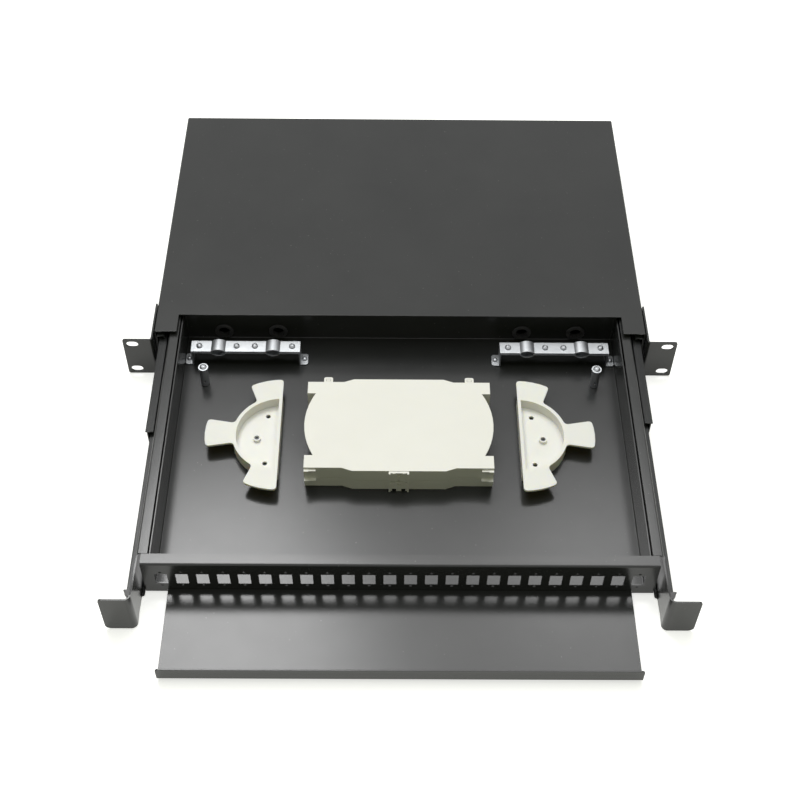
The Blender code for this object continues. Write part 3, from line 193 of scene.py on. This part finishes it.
def powder_coat():
    """Satin black powder coat: fine orange peel, faint clouds and a few specks of lint."""
    made = Surface("powder_coat_look")
    clouds = made.ranged(made.noise(14.0, detail=3.0), 0.0, 1.0)
    colour = made.mixed(clouds, (0.0195, 0.0205, 0.0210), (0.0250, 0.0260, 0.0265))
    lint = made.ranged(made.noise(520.0, detail=1.0), 0.0, 0.5, start=0.77, end=0.82)
    colour = made.mixed(lint, colour, (0.16, 0.165, 0.16))
    gloss = made.ranged(made.noise(46.0, detail=4.0), 0.205, 0.222)
    made.set(Base_Color=colour, Roughness=gloss, Metallic=0.0, Specular_IOR_Level=0.42)
    made.bump(made.noise(620.0), depth=0.00002)
    made.bump(made.noise(2100.0, detail=1.0), depth=0.00001)
    return made.material


def slide_steel():
    """Black electrocoated steel of the slides, greased and rubbed along its travel."""
    made = Surface("slide_steel_look")
    rubs = made.noise(30.0, detail=4.0, roughness=0.6, place=made.stretched((26.0, 0.7, 26.0)))
    rubbed = made.ranged(rubs, 0.0, 1.0, start=0.45, end=0.75)
    colour = made.mixed(rubbed, (0.016, 0.017, 0.018), (0.045, 0.046, 0.047))
    gloss = made.ranged(rubs, 0.34, 0.20)
    made.set(Base_Color=colour, Metallic=0.0, Specular_IOR_Level=0.20, Roughness=gloss)
    made.bump(made.noise(900.0), depth=0.00003)
    return made.material


def zinc_plate():
    """Bright zinc plate: pale, slightly blue, faintly mottled and drawn along the strip."""
    made = Surface("zinc_plate_look")
    mottle = made.ranged(made.noise(170.0, detail=4.0, roughness=0.6), 0.0, 1.0)
    grain = made.noise(90.0, detail=3.0, roughness=0.6, place=made.stretched((1.0, 14.0, 14.0)))
    colour = made.mixed(mottle, (0.375, 0.390, 0.400), (0.420, 0.433, 0.441))
    made.set(Base_Color=colour, Metallic=1.0, Roughness=made.ranged(grain, 0.36, 0.44))
    made.bump(grain, depth=0.00003)
    made.bump(made.noise(1200.0), depth=0.00001)
    return made.material


def screw_steel_with_painted_shade():
    """Dull steel of the small screws deep in the spools' bosses, its colour darkened as painted
    shade.
    """
    made = Surface("screw_steel_with_painted_shade_look")
    wear = made.noise(300.0, detail=3.0)
    worn = made.ranged(wear, 0.0, 1.0)
    # The very dark colour is the steel's dull tone with the shade of the deep bosses painted into
    # it
    colour = made.mixed(worn, (0.050, 0.051, 0.053), (0.085, 0.086, 0.088))
    made.set(Base_Color=colour, Metallic=1.0, Roughness=made.ranged(wear, 0.34, 0.46))
    made.bump(made.noise(1300.0), depth=0.00001)
    return made.material


def white_abs(name, low, high, depth):
    """White moulded ABS between two colours, with flow clouds, a fine grain and light inside."""
    made = Surface(name)
    flow = made.noise(11.0, detail=3.0, roughness=0.55, place=made.stretched((1.0, 1.7, 1.0)))
    colour = made.mixed(made.ranged(flow, 0.0, 1.0), low, high)
    gloss = made.ranged(made.noise(60.0, detail=3.0), 0.34, 0.46)
    made.set(
        Base_Color=colour,
        Roughness=gloss,
        Subsurface_Weight=depth,
        Subsurface_Radius=(0.0044, 0.0036, 0.0018),
        Subsurface_Scale=1.0,
    )
    made.bump(made.noise(1500.0), depth=0.00002)
    made.bump(made.noise(38.0), depth=0.00005)
    return made.material


def black_rubber():
    """Matt black rubber of the grommets, with a little dust."""
    made = Surface("black_rubber_look")
    dust = made.ranged(made.noise(240.0, detail=4.0), 0.0, 1.0, start=0.5, end=0.8)
    made.set(Base_Color=made.mixed(dust, (0.014, 0.014, 0.014), (0.040, 0.039, 0.037)))
    made.set(Roughness=made.ranged(made.noise(300.0), 0.62, 0.80))
    made.bump(made.noise(1100.0, detail=3.0), depth=0.00005)
    return made.material


def catch_plastic():
    """Black moulded plastic of the catches."""
    made = Surface("catch_plastic_look")
    clouds = made.noise(140.0, detail=3.0)
    made.set(Base_Color=made.mixed(clouds, (0.016, 0.016, 0.017), (0.030, 0.030, 0.030)))
    made.set(Roughness=made.ranged(clouds, 0.34, 0.48))
    made.bump(made.noise(1700.0), depth=0.00002)
    return made.material


ABS_LOW = (0.770, 0.755, 0.725)
ABS_HIGH = (0.797, 0.783, 0.757)
LOOKS = {
    "powder_coat": (powder_coat(), SHEET_EDGE),
    "slide_steel": (slide_steel(), SHEET_EDGE),
    "zinc_plate": (zinc_plate(), SMALL_EDGE),
    "white_abs": (white_abs("white_abs_look", ABS_LOW, ABS_HIGH, 0.08), MOULDED_EDGE),
    "black_rubber": (black_rubber(), MOULDED_EDGE),
    "catch_plastic": (catch_plastic(), MOULDED_EDGE),
}


def soften(obj, width):
    """Rounds the edges of an object and shades it smooth between them."""
    obj.data.shade_smooth()
    weld = obj.modifiers.new("weld", "WELD")
    weld.merge_threshold = TOLERANCE
    flat = obj.modifiers.new("flat", "DECIMATE")
    flat.decimate_type = "DISSOLVE"
    flat.angle_limit = math.radians(FLAT_ANGLE)
    edge = obj.modifiers.new("edge", "BEVEL")
    edge.width = width
    edge.segments = EDGE_SEGMENTS
    edge.limit_method = "ANGLE"
    edge.angle_limit = math.radians(EDGE_ANGLE)
    edge.use_clamp_overlap = True
    shade = obj.modifiers.new("shade", "WEIGHTED_NORMAL")
    shade.keep_sharp = True


# The spools come from another mould, in a whiter batch that lets more light through
SPOOL_LOW = (0.780, 0.766, 0.738)
SPOOL_HIGH = (0.805, 0.792, 0.764)
SPECIAL = {
    "fibre_spool": white_abs("spool_abs_look", SPOOL_LOW, SPOOL_HIGH, 0.45),
    # The spools' screws get a darker steel, whose colour paints the shade deep in the bosses
    "spool_screw": screw_steel_with_painted_shade(),
}


def dress(obj, node):
    """Gives an object the finish of a node: its slot's look, or one of its own."""
    material, width = LOOKS[SLOTS[node]]
    material = next((look for start, look in SPECIAL.items() if node.startswith(start)), material)
    obj.data.materials.clear()
    obj.data.materials.append(material)
    soften(obj, width)


for name, obj in NODES.items():
    dress(obj, name)

# Forms that the photograph shows and the nodes lack, each on a piece that stands for its node
SHEET = 0.0012
SEAT = 0.0003
OVERSHOOT = 0.0020
# A shape that is joined to a node keeps this much clear of the planes that it would share with it
CLEAR = 0.00003

# Folds of sheet, and how finely round shapes are divided
FOLD_RADIUS = 0.0012
FOLD_SEGMENTS = 3
FOLD_ANGLE = 50
ROD_SIDES = 20
CORNER_STEPS = 6
SADDLE_STEPS = 12
HANDLE_STEPS = 8

# Drawer: the corners of the tray's lip, and the ends of the adapter panel beside the tray
TRAY_SETBACK = 0.0117
TRAY_FLOOR_TOP = 0.0040
LIP_TOP = 0.0170
LIP_CORNER = 0.0024

# Side channels, whose handle flanges stand taller than the channel, and the hooks behind them
CHANNEL_NOSE = 0.0052
CHANNEL_NOSE_CORNER = 0.0020
HANDLE_FORWARD = 0.0010
HANDLE_REACH = 0.0232
HANDLE_BEND = 0.0042
HANDLE_TALL = 0.0135
HANDLE_LOW = 0.0004
HANDLE_HEADROOM = 0.0019
HANDLE_CORNER = 0.0045
HANDLE_TOP_CORNER = 0.0026
CATCH_INSET = 0.0046
CATCH_REACH = 0.0056
CATCH_DEPTH = 0.0064
CATCH_HEIGHT = 0.0080
CATCH_DROP = 0.0020
# The outline of a catch, as shares of its reach and of its depth from the front
CATCH_LINE = (
    (0.0, 1.0),
    (0.0, 0.0),
    (0.35, 0.0),
    (0.60, 0.25),
    (0.72, 0.60),
    (1.0, 0.88),
    (0.92, 1.0),
)

# Clamps
CLAMP_OPEN = 0.0006
CLAMP_SCREWS = 4
CLAMP_HOLE = 0.0036
FOOT_HOLE = 0.0028
FOOT_CORNER = 0.0024
SADDLE_OFFSET = 0.0241
SADDLE_WIDTH = 0.0122
SADDLE_RISE = 0.0024
SADDLE_DROP = 0.0034

# Splice trays: the front clip's ribs, holes, seam and feet, and the ledges at the front corners
SPLICE_WIDTH = 0.0915
SPLICE_BULGE = 0.0031
SPLICE_WALL = 0.0014
CLIP_WIDTH = 0.0166
CLIP_PROUD = 0.0020
CLIP_RIB = 0.0014
CLIP_RIB_PROUD = 0.0011
CLIP_HOLE_DIAMETER = 0.0030
CLIP_HOLE_DEPTH = 0.0045
CLIP_HOLE_RISES = (0.0012, 0.0112)
CLIP_SEAM = 0.0010
CLIP_SEAM_DEPTH = 0.0014
CLIP_FOOT_OFFSET = 0.0038
CLIP_FOOT_WIDTH = 0.0034
CLIP_FOOT_HEIGHT = 0.0030
TONGUE_DROP = 0.0068
LID_SHEET = 0.0012
LEDGE_DROP = 0.0008
LEDGE_INSET = 0.0004
LEDGE_LENGTH = 0.0098
LEDGE_SHEET = 0.0012
LEDGE_PROUD = 0.0019
LOWER_PROUD = 0.0008
KNOB_LENGTH = 0.0040
KNOB_HEIGHT = 0.0022
KNOB_PROUD = 0.0027
FIN_PLACES = (0.0032, 0.0066)
FIN_WIDTH = 0.0014
FIN_HEIGHT = 0.0042
FIN_PROUD = 0.0014

PANEL_LOW, PANEL_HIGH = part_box("adapter_panel")
CHANNEL_LOW, CHANNEL_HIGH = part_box("side_channel_right")
CHANNEL_HALF = CHANNEL_HIGH.x - HANDLE_REACH
TRAY_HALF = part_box("drawer_pan")[1].x - TRAY_SETBACK
LIP_FACE = CAD_BOX[0][1]
SIDES = (("left", -1), ("right", 1))

# How a flat drawing is laid along each axis
TURNS = {
    "Z": Matrix.Identity(4),
    "Y": Matrix(((1, 0, 0, 0), (0, 0, 1, 0), (0, 1, 0, 0), (0, 0, 0, 1))),
    "X": Matrix(((0, 0, 1, 0), (1, 0, 0, 0), (0, 1, 0, 0), (0, 0, 0, 1))),
}


def same(a, b):
    return abs(a - b) < TOLERANCE


def arc(u, v, radius, start, end, steps):
    """Points of an arc in degrees, both ends included."""
    angles = [math.radians(start + (end - start) * i / steps) for i in range(steps + 1)]
    return [(u + radius * math.cos(a), v + radius * math.sin(a)) for a in angles]


def corner_cut(u, v, radius, turn_u, turn_v):
    """The scrap outside a rounded corner, which points along turn_u and turn_v."""
    a = u - turn_u * radius
    b = v - turn_v * radius
    far_u = u + turn_u * OVERSHOOT
    far_v = v + turn_v * OVERSHOOT
    quarter = arc(0.0, 0.0, radius, 90, 0, CORNER_STEPS)
    curve = [(a + turn_u * x, b + turn_v * y) for x, y in quarter]
    return [(far_u, b), (far_u, far_v), (a, far_v)] + curve


def offset_line(points, distance):
    """The open line moved sideways to its left by the distance, with mitred corners."""
    line = [Vector(p) for p in points]
    steps = [(b - a).normalized() for a, b in zip(line, line[1:])]
    sides = [Vector((-d.y, d.x)) for d in steps]
    made = []
    for here, before, after in zip(line, [sides[0]] + sides, sides + [sides[-1]]):
        middle = (before + after).normalized()
        made.append(tuple(here + middle * (distance / middle.dot(before))))
    return made


def band(points, thickness):
    """The outline of sheet of a constant thickness that follows an open line."""
    return offset_line(points, thickness / 2) + offset_line(points, -thickness / 2)[::-1]


def finished(shape):
    """The bmesh as a mesh with its faces pointing out."""
    bmesh.ops.recalc_face_normals(shape, faces=shape.faces)
    mesh = bpy.data.meshes.new("shape")
    shape.to_mesh(mesh)
    shape.free()
    return mesh


def drawn(outlines, low, high, axis="Z"):
    """Flat outlines given a thickness along X, Y or Z."""
    shape = bmesh.new()
    for outline in outlines:
        spots = [shape.verts.new(TURNS[axis] @ Vector((u, v, low))) for u, v in outline]
        raised = bmesh.ops.extrude_face_region(shape, geom=[shape.faces.new(spots)])["geom"]
        moved = [item for item in raised if isinstance(item, bmesh.types.BMVert)]
        bmesh.ops.translate(shape, verts=moved, vec=TURNS[axis] @ Vector((0.0, 0.0, high - low)))
    return finished(shape)


def boxes(corners):
    """Boxes from pairs of opposite corners."""
    shape = bmesh.new()
    for low, high in corners:
        low = Vector(low)
        high = Vector(high)
        place = Matrix.Translation((low + high) / 2) @ Matrix.Diagonal((*(high - low), 1.0))
        bmesh.ops.create_cube(shape, size=1.0, matrix=place)
    return finished(shape)


def rods(centres, diameter, length, axis="Z"):
    """Equal cylinders round their centres, along X, Y or Z."""
    shape = bmesh.new()
    for centre in centres:
        place = Matrix.Translation(centre) @ TURNS[axis]
        bmesh.ops.create_cone(
            shape,
            cap_ends=True,
            segments=ROD_SIDES,
            radius1=diameter / 2,
            radius2=diameter / 2,
            depth=length,
            matrix=place,
        )
    return finished(shape)


def rim_edges(shape, test):
    """The open edges of a sheet whose two ends both pass the test."""
    return [e for e in shape.edges if e.is_boundary and all(test(v.co) for v in e.verts)]


def flange(shape, test, step):
    """Folds a flange out from the rim edges that pass the test."""
    made = bmesh.ops.extrude_edge_only(shape, edges=rim_edges(shape, test))["geom"]
    moved = [item for item in made if isinstance(item, bmesh.types.BMVert)]
    bmesh.ops.translate(shape, verts=moved, vec=step)


def worked(mesh, steps, folded=False):
    """The mesh, given the thickness of folded sheet where asked, after its Boolean steps.

    A step is an operation and a mesh.
    """
    piece = bpy.data.objects.new("work", mesh)
    scene.collection.objects.link(piece)
    if folded:
        folds = piece.modifiers.new("folds", "BEVEL")
        folds.width = FOLD_RADIUS
        folds.segments = FOLD_SEGMENTS
        folds.limit_method = "ANGLE"
        folds.angle_limit = math.radians(FOLD_ANGLE)
        solid = piece.modifiers.new("sheet", "SOLIDIFY")
        solid.thickness = SHEET
        solid.offset = 0.0
        solid.use_even_offset = True
    tools = []
    for operation, other in steps:
        tool = bpy.data.objects.new("tool", other)
        scene.collection.objects.link(tool)
        tools.append(tool)
        step = piece.modifiers.new(operation.lower(), "BOOLEAN")
        step.operation = operation
        step.solver = "EXACT"
        step.object = tool
    graph = bpy.context.evaluated_depsgraph_get()
    shape = bmesh.new()
    shape.from_mesh(piece.evaluated_get(graph).to_mesh())
    for obj in [piece] + tools:
        bpy.data.objects.remove(obj, do_unlink=True)
    bmesh.ops.remove_doubles(shape, verts=shape.verts, dist=TOLERANCE)
    bmesh.ops.triangulate(shape, faces=shape.faces)
    return finished(shape)


def instead(name, node, mesh):
    """A piece that stands for a node, with its finish and on its body."""
    made = bpy.data.objects.new(name, mesh)
    scene.collection.objects.link(made)
    dress(made, node)
    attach(made, BODIES[node])
    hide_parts(node)


def copied(node):
    """A copy of a node's mesh, which itself stays as it is."""
    return NODES[node].data.copy()


def drawer_sheet():
    """The drawer's sheet, with the lip's top corners rounded off."""
    scrap = [corner_cut(side * TRAY_HALF, LIP_TOP, LIP_CORNER, side, 1) for _, side in SIDES]
    cut = drawn(scrap, LIP_FACE - OVERSHOOT, LIP_FACE + SHEET + OVERSHOOT, "Y")
    instead("drawer_sheet", "drawer_pan", worked(copied("drawer_pan"), [("DIFFERENCE", cut)]))


def port_panel():
    """The adapter panel, whose ends reach down beside the tray to the bottom of the channels."""
    inner = TRAY_HALF + SEAT
    outer = PANEL_HIGH.x + CLEAR
    ends = [
        (
            (min(side * inner, side * outer), PANEL_LOW.y - CLEAR, CHANNEL_LOW.z),
            (max(side * inner, side * outer), PANEL_LOW.y + SHEET + CLEAR, TRAY_FLOOR_TOP + SHEET),
        )
        for _, side in SIDES
    ]
    mesh = worked(copied("adapter_panel"), [("UNION", boxes(ends))])
    instead("port_panel", "adapter_panel", mesh)


def channel(name, side):
    """A side channel: a plate with two inward flanges, bent out in front into a taller handle."""
    plate = CHANNEL_HALF - SHEET / 2
    low = CHANNEL_LOW.z + SHEET / 2
    high = CHANNEL_HIGH.z - SHEET / 2
    fore = PANEL_HIGH.y + SEAT
    nose = PANEL_LOW.y - CHANNEL_NOSE
    face = CHANNEL_LOW.y - HANDLE_FORWARD
    tall = face + HANDLE_TALL
    bend_start = face + SHEET / 2 + HANDLE_BEND
    bottom_edge = PANEL_HIGH.x + SEAT
    handle_top = CAD_BOX[1][2] - HANDLE_HEADROOM
    shape = bmesh.new()
    inner = CHANNEL_LOW.x
    rear = CHANNEL_HIGH.y
    top = [(plate, fore), (inner, fore), (inner, rear), (plate, rear)]
    shape.faces.new([shape.verts.new((x, y, high)) for x, y in top])
    flange(shape, lambda p: same(p.x, plate), (0.0, 0.0, low - high))
    flange(shape, lambda p: same(p.y, fore) and same(p.x, plate), (0.0, nose - fore, 0.0))
    flange(shape, lambda p: same(p.z, low), (bottom_edge - plate, 0.0, 0.0))
    flange(shape, lambda p: same(p.y, nose) and same(p.x, plate), (0.0, tall - nose, 0.0))
    flange(shape, lambda p: same(p.y, tall), (0.0, bend_start - tall, 0.0))
    for vertex in shape.verts:
        if same(vertex.co.y, bend_start):
            vertex.co.z = HANDLE_LOW if same(vertex.co.z, low) else handle_top
    bmesh.ops.spin(
        shape,
        geom=rim_edges(shape, lambda p: same(p.y, bend_start) and same(p.x, plate)),
        cent=(plate + HANDLE_BEND, bend_start, 0.0),
        axis=(0.0, 0.0, 1.0),
        angle=math.radians(90),
        steps=HANDLE_STEPS,
        use_duplicate=False,
    )
    end = plate + HANDLE_BEND
    handle = bend_start - HANDLE_BEND
    flange(shape, lambda p: same(p.x, end) and same(p.y, handle), (CHANNEL_HIGH.x - end, 0.0, 0.0))
    bmesh.ops.remove_doubles(shape, verts=shape.verts, dist=TOLERANCE)
    if side < 0:
        bmesh.ops.scale(shape, vec=(-1.0, 1.0, 1.0), verts=shape.verts)
    corners = [
        corner_cut(side * CHANNEL_HIGH.x, HANDLE_LOW, HANDLE_CORNER, side, -1),
        corner_cut(side * CHANNEL_HIGH.x, handle_top, HANDLE_TOP_CORNER, side, 1),
    ]
    nose_corner = corner_cut(side * bottom_edge, nose, CHANNEL_NOSE_CORNER, -side, -1)
    base = CHANNEL_LOW.z
    steps = [
        ("DIFFERENCE", drawn(corners, face - OVERSHOOT, face + SHEET + OVERSHOOT, "Y")),
        ("DIFFERENCE", drawn([nose_corner], base - OVERSHOOT, base + SHEET + OVERSHOOT)),
    ]
    mesh = worked(finished(shape), steps, folded=True)
    instead(f"channel_with_handle_{name}", f"side_channel_{name}", mesh)


def catch(name, side):
    """The spring hook behind a handle, whose point lies at its rear."""
    x = CHANNEL_HALF + SEAT
    front = CHANNEL_LOW.y - HANDLE_FORWARD + SHEET + CATCH_INSET
    top = CHANNEL_HIGH.z - CATCH_DROP
    outline = [(side * (x + CATCH_REACH * u), front + CATCH_DEPTH * v) for u, v in CATCH_LINE]
    hook = drawn([outline], top - CATCH_HEIGHT, top)
    instead(f"catch_hook_{name}", f"drawer_catch_{name}", hook)


def saddle_line(height, bow):
    """A clamp's line between its ends, with two saddles that rise or drop by their bow."""
    half = SADDLE_WIDTH / 2
    radius = (half**2 + bow**2) / (2 * abs(bow))
    swing = math.degrees(math.asin(half / radius))
    curve = arc(0.0, abs(bow) - radius, radius, 90 + swing, 90 - swing, SADDLE_STEPS)
    points = []
    for centre in (-SADDLE_OFFSET, SADDLE_OFFSET):
        points.append((centre - half - SHEET, height))
        points += [(centre + u, height + math.copysign(v, bow)) for u, v in curve]
        points.append((centre + half + SHEET, height))
    return points


def clamp(name):
    """A bridge with feet and two saddles, and the bar that closes over it."""
    bar_low, bar_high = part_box(f"clamp_bar_{name}")
    base_low, base_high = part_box(f"clamp_base_{name}")
    middle = (bar_low.x + bar_high.x) / 2
    depth = (bar_low.y + bar_high.y) / 2
    ends = (bar_high.x - bar_low.x) / 2
    foot_end = (base_high.x - base_low.x) / 2
    upper = bar_low.z + SHEET / 2
    lower = upper - SHEET - CLAMP_OPEN
    foot = base_low.z + SHEET / 2
    leg = ends - SHEET / 2
    screws = [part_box(f"clamp_screw_{name}_{i + 1}") for i in range(CLAMP_SCREWS)]
    spots = [((low.x + high.x) / 2, depth) for low, high in screws]
    feet = [(middle + s * (ends + foot_end) / 2, depth, foot) for s in (-1, 1)]
    corners = [
        corner_cut(middle + s * foot_end, y, FOOT_CORNER, s, t)
        for s in (-1, 1)
        for y, t in ((bar_low.y, -1), (bar_high.y, 1))
    ]
    bridge = [(-foot_end, foot), (-leg, foot), (-leg, lower)] + saddle_line(lower, -SADDLE_DROP)
    bridge += [(leg, lower), (leg, foot), (foot_end, foot)]
    bar = [(-ends, upper)] + saddle_line(upper, SADDLE_RISE) + [(ends, upper)]
    plates = (
        ("clamp_bridge", "clamp_base", bridge, lower),
        ("clamp_strip", "clamp_bar", bar, upper),
    )
    for piece, node, line, height in plates:
        sheet = drawn([[(middle + u, v) for u, v in band(line, SHEET)]], bar_low.y, bar_high.y, "Y")
        holes = rods([(x, y, height) for x, y in spots], CLAMP_HOLE, 3 * SHEET)
        steps = [("DIFFERENCE", holes)]
        if node == "clamp_base":
            steps.append(("DIFFERENCE", rods(feet, FOOT_HOLE, 3 * SHEET)))
            steps.append(("DIFFERENCE", drawn(corners, foot - SHEET, foot + SHEET)))
        instead(f"{piece}_{name}", f"{node}_{name}", worked(sheet, steps))


def clip_ribs(front, middle, low, high):
    """The two ribs down the sides of the front clip."""
    outer = CLIP_WIDTH / 2 + CLEAR
    inner = CLIP_WIDTH / 2 - CLIP_RIB - CLEAR
    return boxes(
        [
            (
                (middle + min(s * inner, s * outer), front - CLIP_RIB_PROUD, low + CLEAR),
                (middle + max(s * inner, s * outer), front + CLIP_PROUD / 2, high - CLEAR),
            )
            for s in (-1, 1)
        ]
    )


def clip_holes(front, middle, base):
    """The two holes of the clip, over the upper tray's base."""
    spots = [(middle, front, base + rise) for rise in CLIP_HOLE_RISES]
    return rods(spots, CLIP_HOLE_DIAMETER, 2 * CLIP_HOLE_DEPTH, "Y")


def clip_feet(front, middle, base):
    """The two slots under the clip of the lower tray, which open into it."""
    reach = CLIP_FOOT_WIDTH / 2
    deep = front + CLIP_HOLE_DEPTH
    spots = [middle + s * CLIP_FOOT_OFFSET for s in (-1, 1)]
    return boxes(
        [
            (
                (x - reach, front - OVERSHOOT, base - OVERSHOOT),
                (x + reach, deep, base + CLIP_FOOT_HEIGHT),
            )
            for x in spots
        ]
    )


def clip_seam(front, middle, base):
    """The groove across the clip where the upper tray stands on the lower one."""
    reach = CLIP_WIDTH / 2 - CLIP_RIB
    low = (middle - reach, front - OVERSHOOT, base - OVERSHOOT)
    return boxes([(low, (middle + reach, front + CLIP_SEAM_DEPTH, base + CLIP_SEAM))])


def ledge_boxes(tray, near, far, low, high, proud):
    """A box at each front corner of a tray, from one distance to another in from the tray's end.

    The tray is its middle, its half length and its front face.
    """
    middle, half, front = tray
    outer = half - near + CLEAR
    inner = half - far - CLEAR
    deep = front + SPLICE_WALL / 2 + CLEAR
    return [
        (
            (middle + min(s * outer, s * inner), front - proud, low - CLEAR),
            (middle + max(s * outer, s * inner), deep, high + CLEAR),
        )
        for s in (-1, 1)
    ]


def splice_trays():
    """The trays and the lid, with the whole front clip and the ledges as deep as the real ones."""
    lower_low, lower_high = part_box("splice_tray_lower")
    upper_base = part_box("splice_tray_upper")[0].z
    lid_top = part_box("splice_lid")[1].z
    height = lower_high.z - lower_low.z
    middle = (lower_low.x + lower_high.x) / 2
    front = lower_high.y - SPLICE_BULGE - SPLICE_WIDTH
    clip_front = front - SPLICE_BULGE - CLIP_PROUD
    tray = (middle, (lower_high.x - lower_low.x) / 2, front)
    for name, base in (("lower", lower_low.z), ("upper", upper_base)):
        top = base + height
        ledge = top - LEDGE_DROP
        under = ledge - LEDGE_SHEET / 2
        clip_top = top if name == "lower" else top - TONGUE_DROP - SEAT
        knob_end = ledge + LEDGE_DROP / 2
        more = LOWER_PROUD if name == "lower" else 0.0
        proud = LEDGE_PROUD + more
        plates = ledge_boxes(tray, LEDGE_INSET, LEDGE_LENGTH, ledge - LEDGE_SHEET, ledge, proud)
        proud = KNOB_PROUD + more
        near = LEDGE_INSET / 2
        knobs = ledge_boxes(tray, near, KNOB_LENGTH, ledge - KNOB_HEIGHT, knob_end, proud)
        steps = [("UNION", boxes(plates)), ("UNION", boxes(knobs))]
        for near in FIN_PLACES:
            fin = ledge_boxes(tray, near, near + FIN_WIDTH, ledge - FIN_HEIGHT, under, FIN_PROUD)
            steps.append(("UNION", boxes(fin)))
        steps.append(("UNION", clip_ribs(clip_front, middle, base, clip_top)))
        if name == "lower":
            steps.append(("DIFFERENCE", clip_feet(clip_front, middle, base)))
        else:
            steps.append(("DIFFERENCE", clip_seam(clip_front, middle, base)))
            steps.append(("DIFFERENCE", clip_holes(clip_front, middle, base)))
        node = f"splice_tray_{name}"
        instead(f"splice_tray_shell_{name}", node, worked(copied(node), steps))
    tongue_low = upper_base + height - TONGUE_DROP
    tongue_top = lid_top - LID_SHEET / 4
    steps = [("UNION", clip_ribs(clip_front, middle, tongue_low, tongue_top))]
    steps.append(("DIFFERENCE", clip_holes(clip_front, middle, upper_base)))
    instead("splice_lid_with_tongue", "splice_lid", worked(copied("splice_lid"), steps))


drawer_sheet()
port_panel()
for name, side in SIDES:
    channel(name, side)
    catch(name, side)
    clamp(name)
splice_trays()


def floor_and_surround():
    """A pale floor, and a dim world that is white to the camera and in reflections."""
    mesh = bpy.data.meshes.new("floor")
    r = FLOOR_SIZE / 2
    mesh.from_pydata([(-r, -r, 0), (r, -r, 0), (r, r, 0), (-r, r, 0)], [], [(0, 1, 2, 3)])
    floor = bpy.data.objects.new("floor", mesh)
    floor.location.z = -FLOOR_DROP
    scene.collection.objects.link(floor)
    made = bpy.data.materials.new("floor_look")
    made.use_nodes = True
    nodes = made.node_tree.nodes
    links = made.node_tree.links
    nodes.clear()
    out = nodes.new("ShaderNodeOutputMaterial")
    total = nodes.new("ShaderNodeAddShader")
    plain = nodes.new("ShaderNodeBsdfDiffuse")
    plain.inputs["Color"].default_value = (FLOOR_ALBEDO, FLOOR_ALBEDO, FLOOR_ALBEDO, 1.0)
    glow = nodes.new("ShaderNodeEmission")
    links.new(ranged(nodes, links, seen(nodes, links), 0.0, FLOOR_LIFT), glow.inputs["Strength"])
    links.new(plain.outputs[0], total.inputs[0])
    links.new(glow.outputs[0], total.inputs[1])
    links.new(total.outputs[0], out.inputs["Surface"])
    mesh.materials.append(made)

    world = bpy.data.worlds.new("surround")
    scene.world = world
    world.use_nodes = True
    nodes = world.node_tree.nodes
    links = world.node_tree.links
    share = seen(nodes, links)
    links.new(ranged(nodes, links, share, SURROUND, 1.0), nodes["Background"].inputs["Strength"])
    tint = nodes.new("ShaderNodeMix")
    tint.data_type = "RGBA"
    tint.inputs[MIX_FIRST].default_value = (*SURROUND_TINT, 1.0)
    tint.inputs[MIX_SECOND].default_value = (1.0, 1.0, 1.0, 1.0)
    links.new(share, tint.inputs["Factor"])
    links.new(tint.outputs[MIX_RESULT], nodes["Background"].inputs["Color"])


def seen(nodes, links):
    """1 to the camera, in reflections and through glass, and 0 to light that falls on things."""
    path = nodes.new("ShaderNodeLightPath")
    value = path.outputs["Is Camera Ray"]
    for other in ("Is Glossy Ray", "Is Transmission Ray"):
        either = nodes.new("ShaderNodeMath")
        either.operation = "MAXIMUM"
        links.new(value, either.inputs[0])
        links.new(path.outputs[other], either.inputs[1])
        value = either.outputs[0]
    return value


def ranged(nodes, links, value, low, high):
    """The value from 0 to 1, spread from low to high."""
    span = nodes.new("ShaderNodeMapRange")
    span.inputs["To Min"].default_value = low
    span.inputs["To Max"].default_value = high
    links.new(value, span.inputs["Value"])
    return span.outputs["Result"]


def panel(name, bearing, elevation, width, height, power):
    """An area light that faces the box."""
    light = bpy.data.lights.new(name, "AREA")
    light.shape = "RECTANGLE"
    light.size = width
    light.size_y = height
    light.energy = power
    made = bpy.data.objects.new(name, light)
    turn = Matrix.Rotation(math.radians(-bearing), 4, "Z")
    turn = turn @ Matrix.Rotation(math.radians(elevation), 4, "X")
    spot = turn @ Vector((0.0, LAMP_DISTANCE, 0.0))
    facing = (-spot).to_track_quat("-Z", "Y").to_matrix().to_4x4()
    made.matrix_world = Matrix.Translation(spot) @ facing
    scene.collection.objects.link(made)


floor_and_surround()
for name, setting in LAMPS.items():
    panel(name, *setting)


def camera():
    """The camera of the photograph."""
    data = bpy.data.cameras.new("camera")
    data.sensor_width = SENSOR
    data.lens = CAMERA_LENS
    made = bpy.data.objects.new("camera", data)
    turn = Matrix.Rotation(math.radians(CAMERA_HEADING), 4, "Z")
    turn = turn @ Matrix.Rotation(math.radians(CAMERA_PITCH), 4, "X")
    turn = turn @ Matrix.Rotation(math.radians(CAMERA_ROLL), 4, "Y")
    made.matrix_world = Matrix.Translation(CAMERA_SPOT) @ turn
    scene.collection.objects.link(made)
    scene.camera = made


camera()
scene.view_settings.view_transform = "Standard"

bpy.context.view_layer.update()
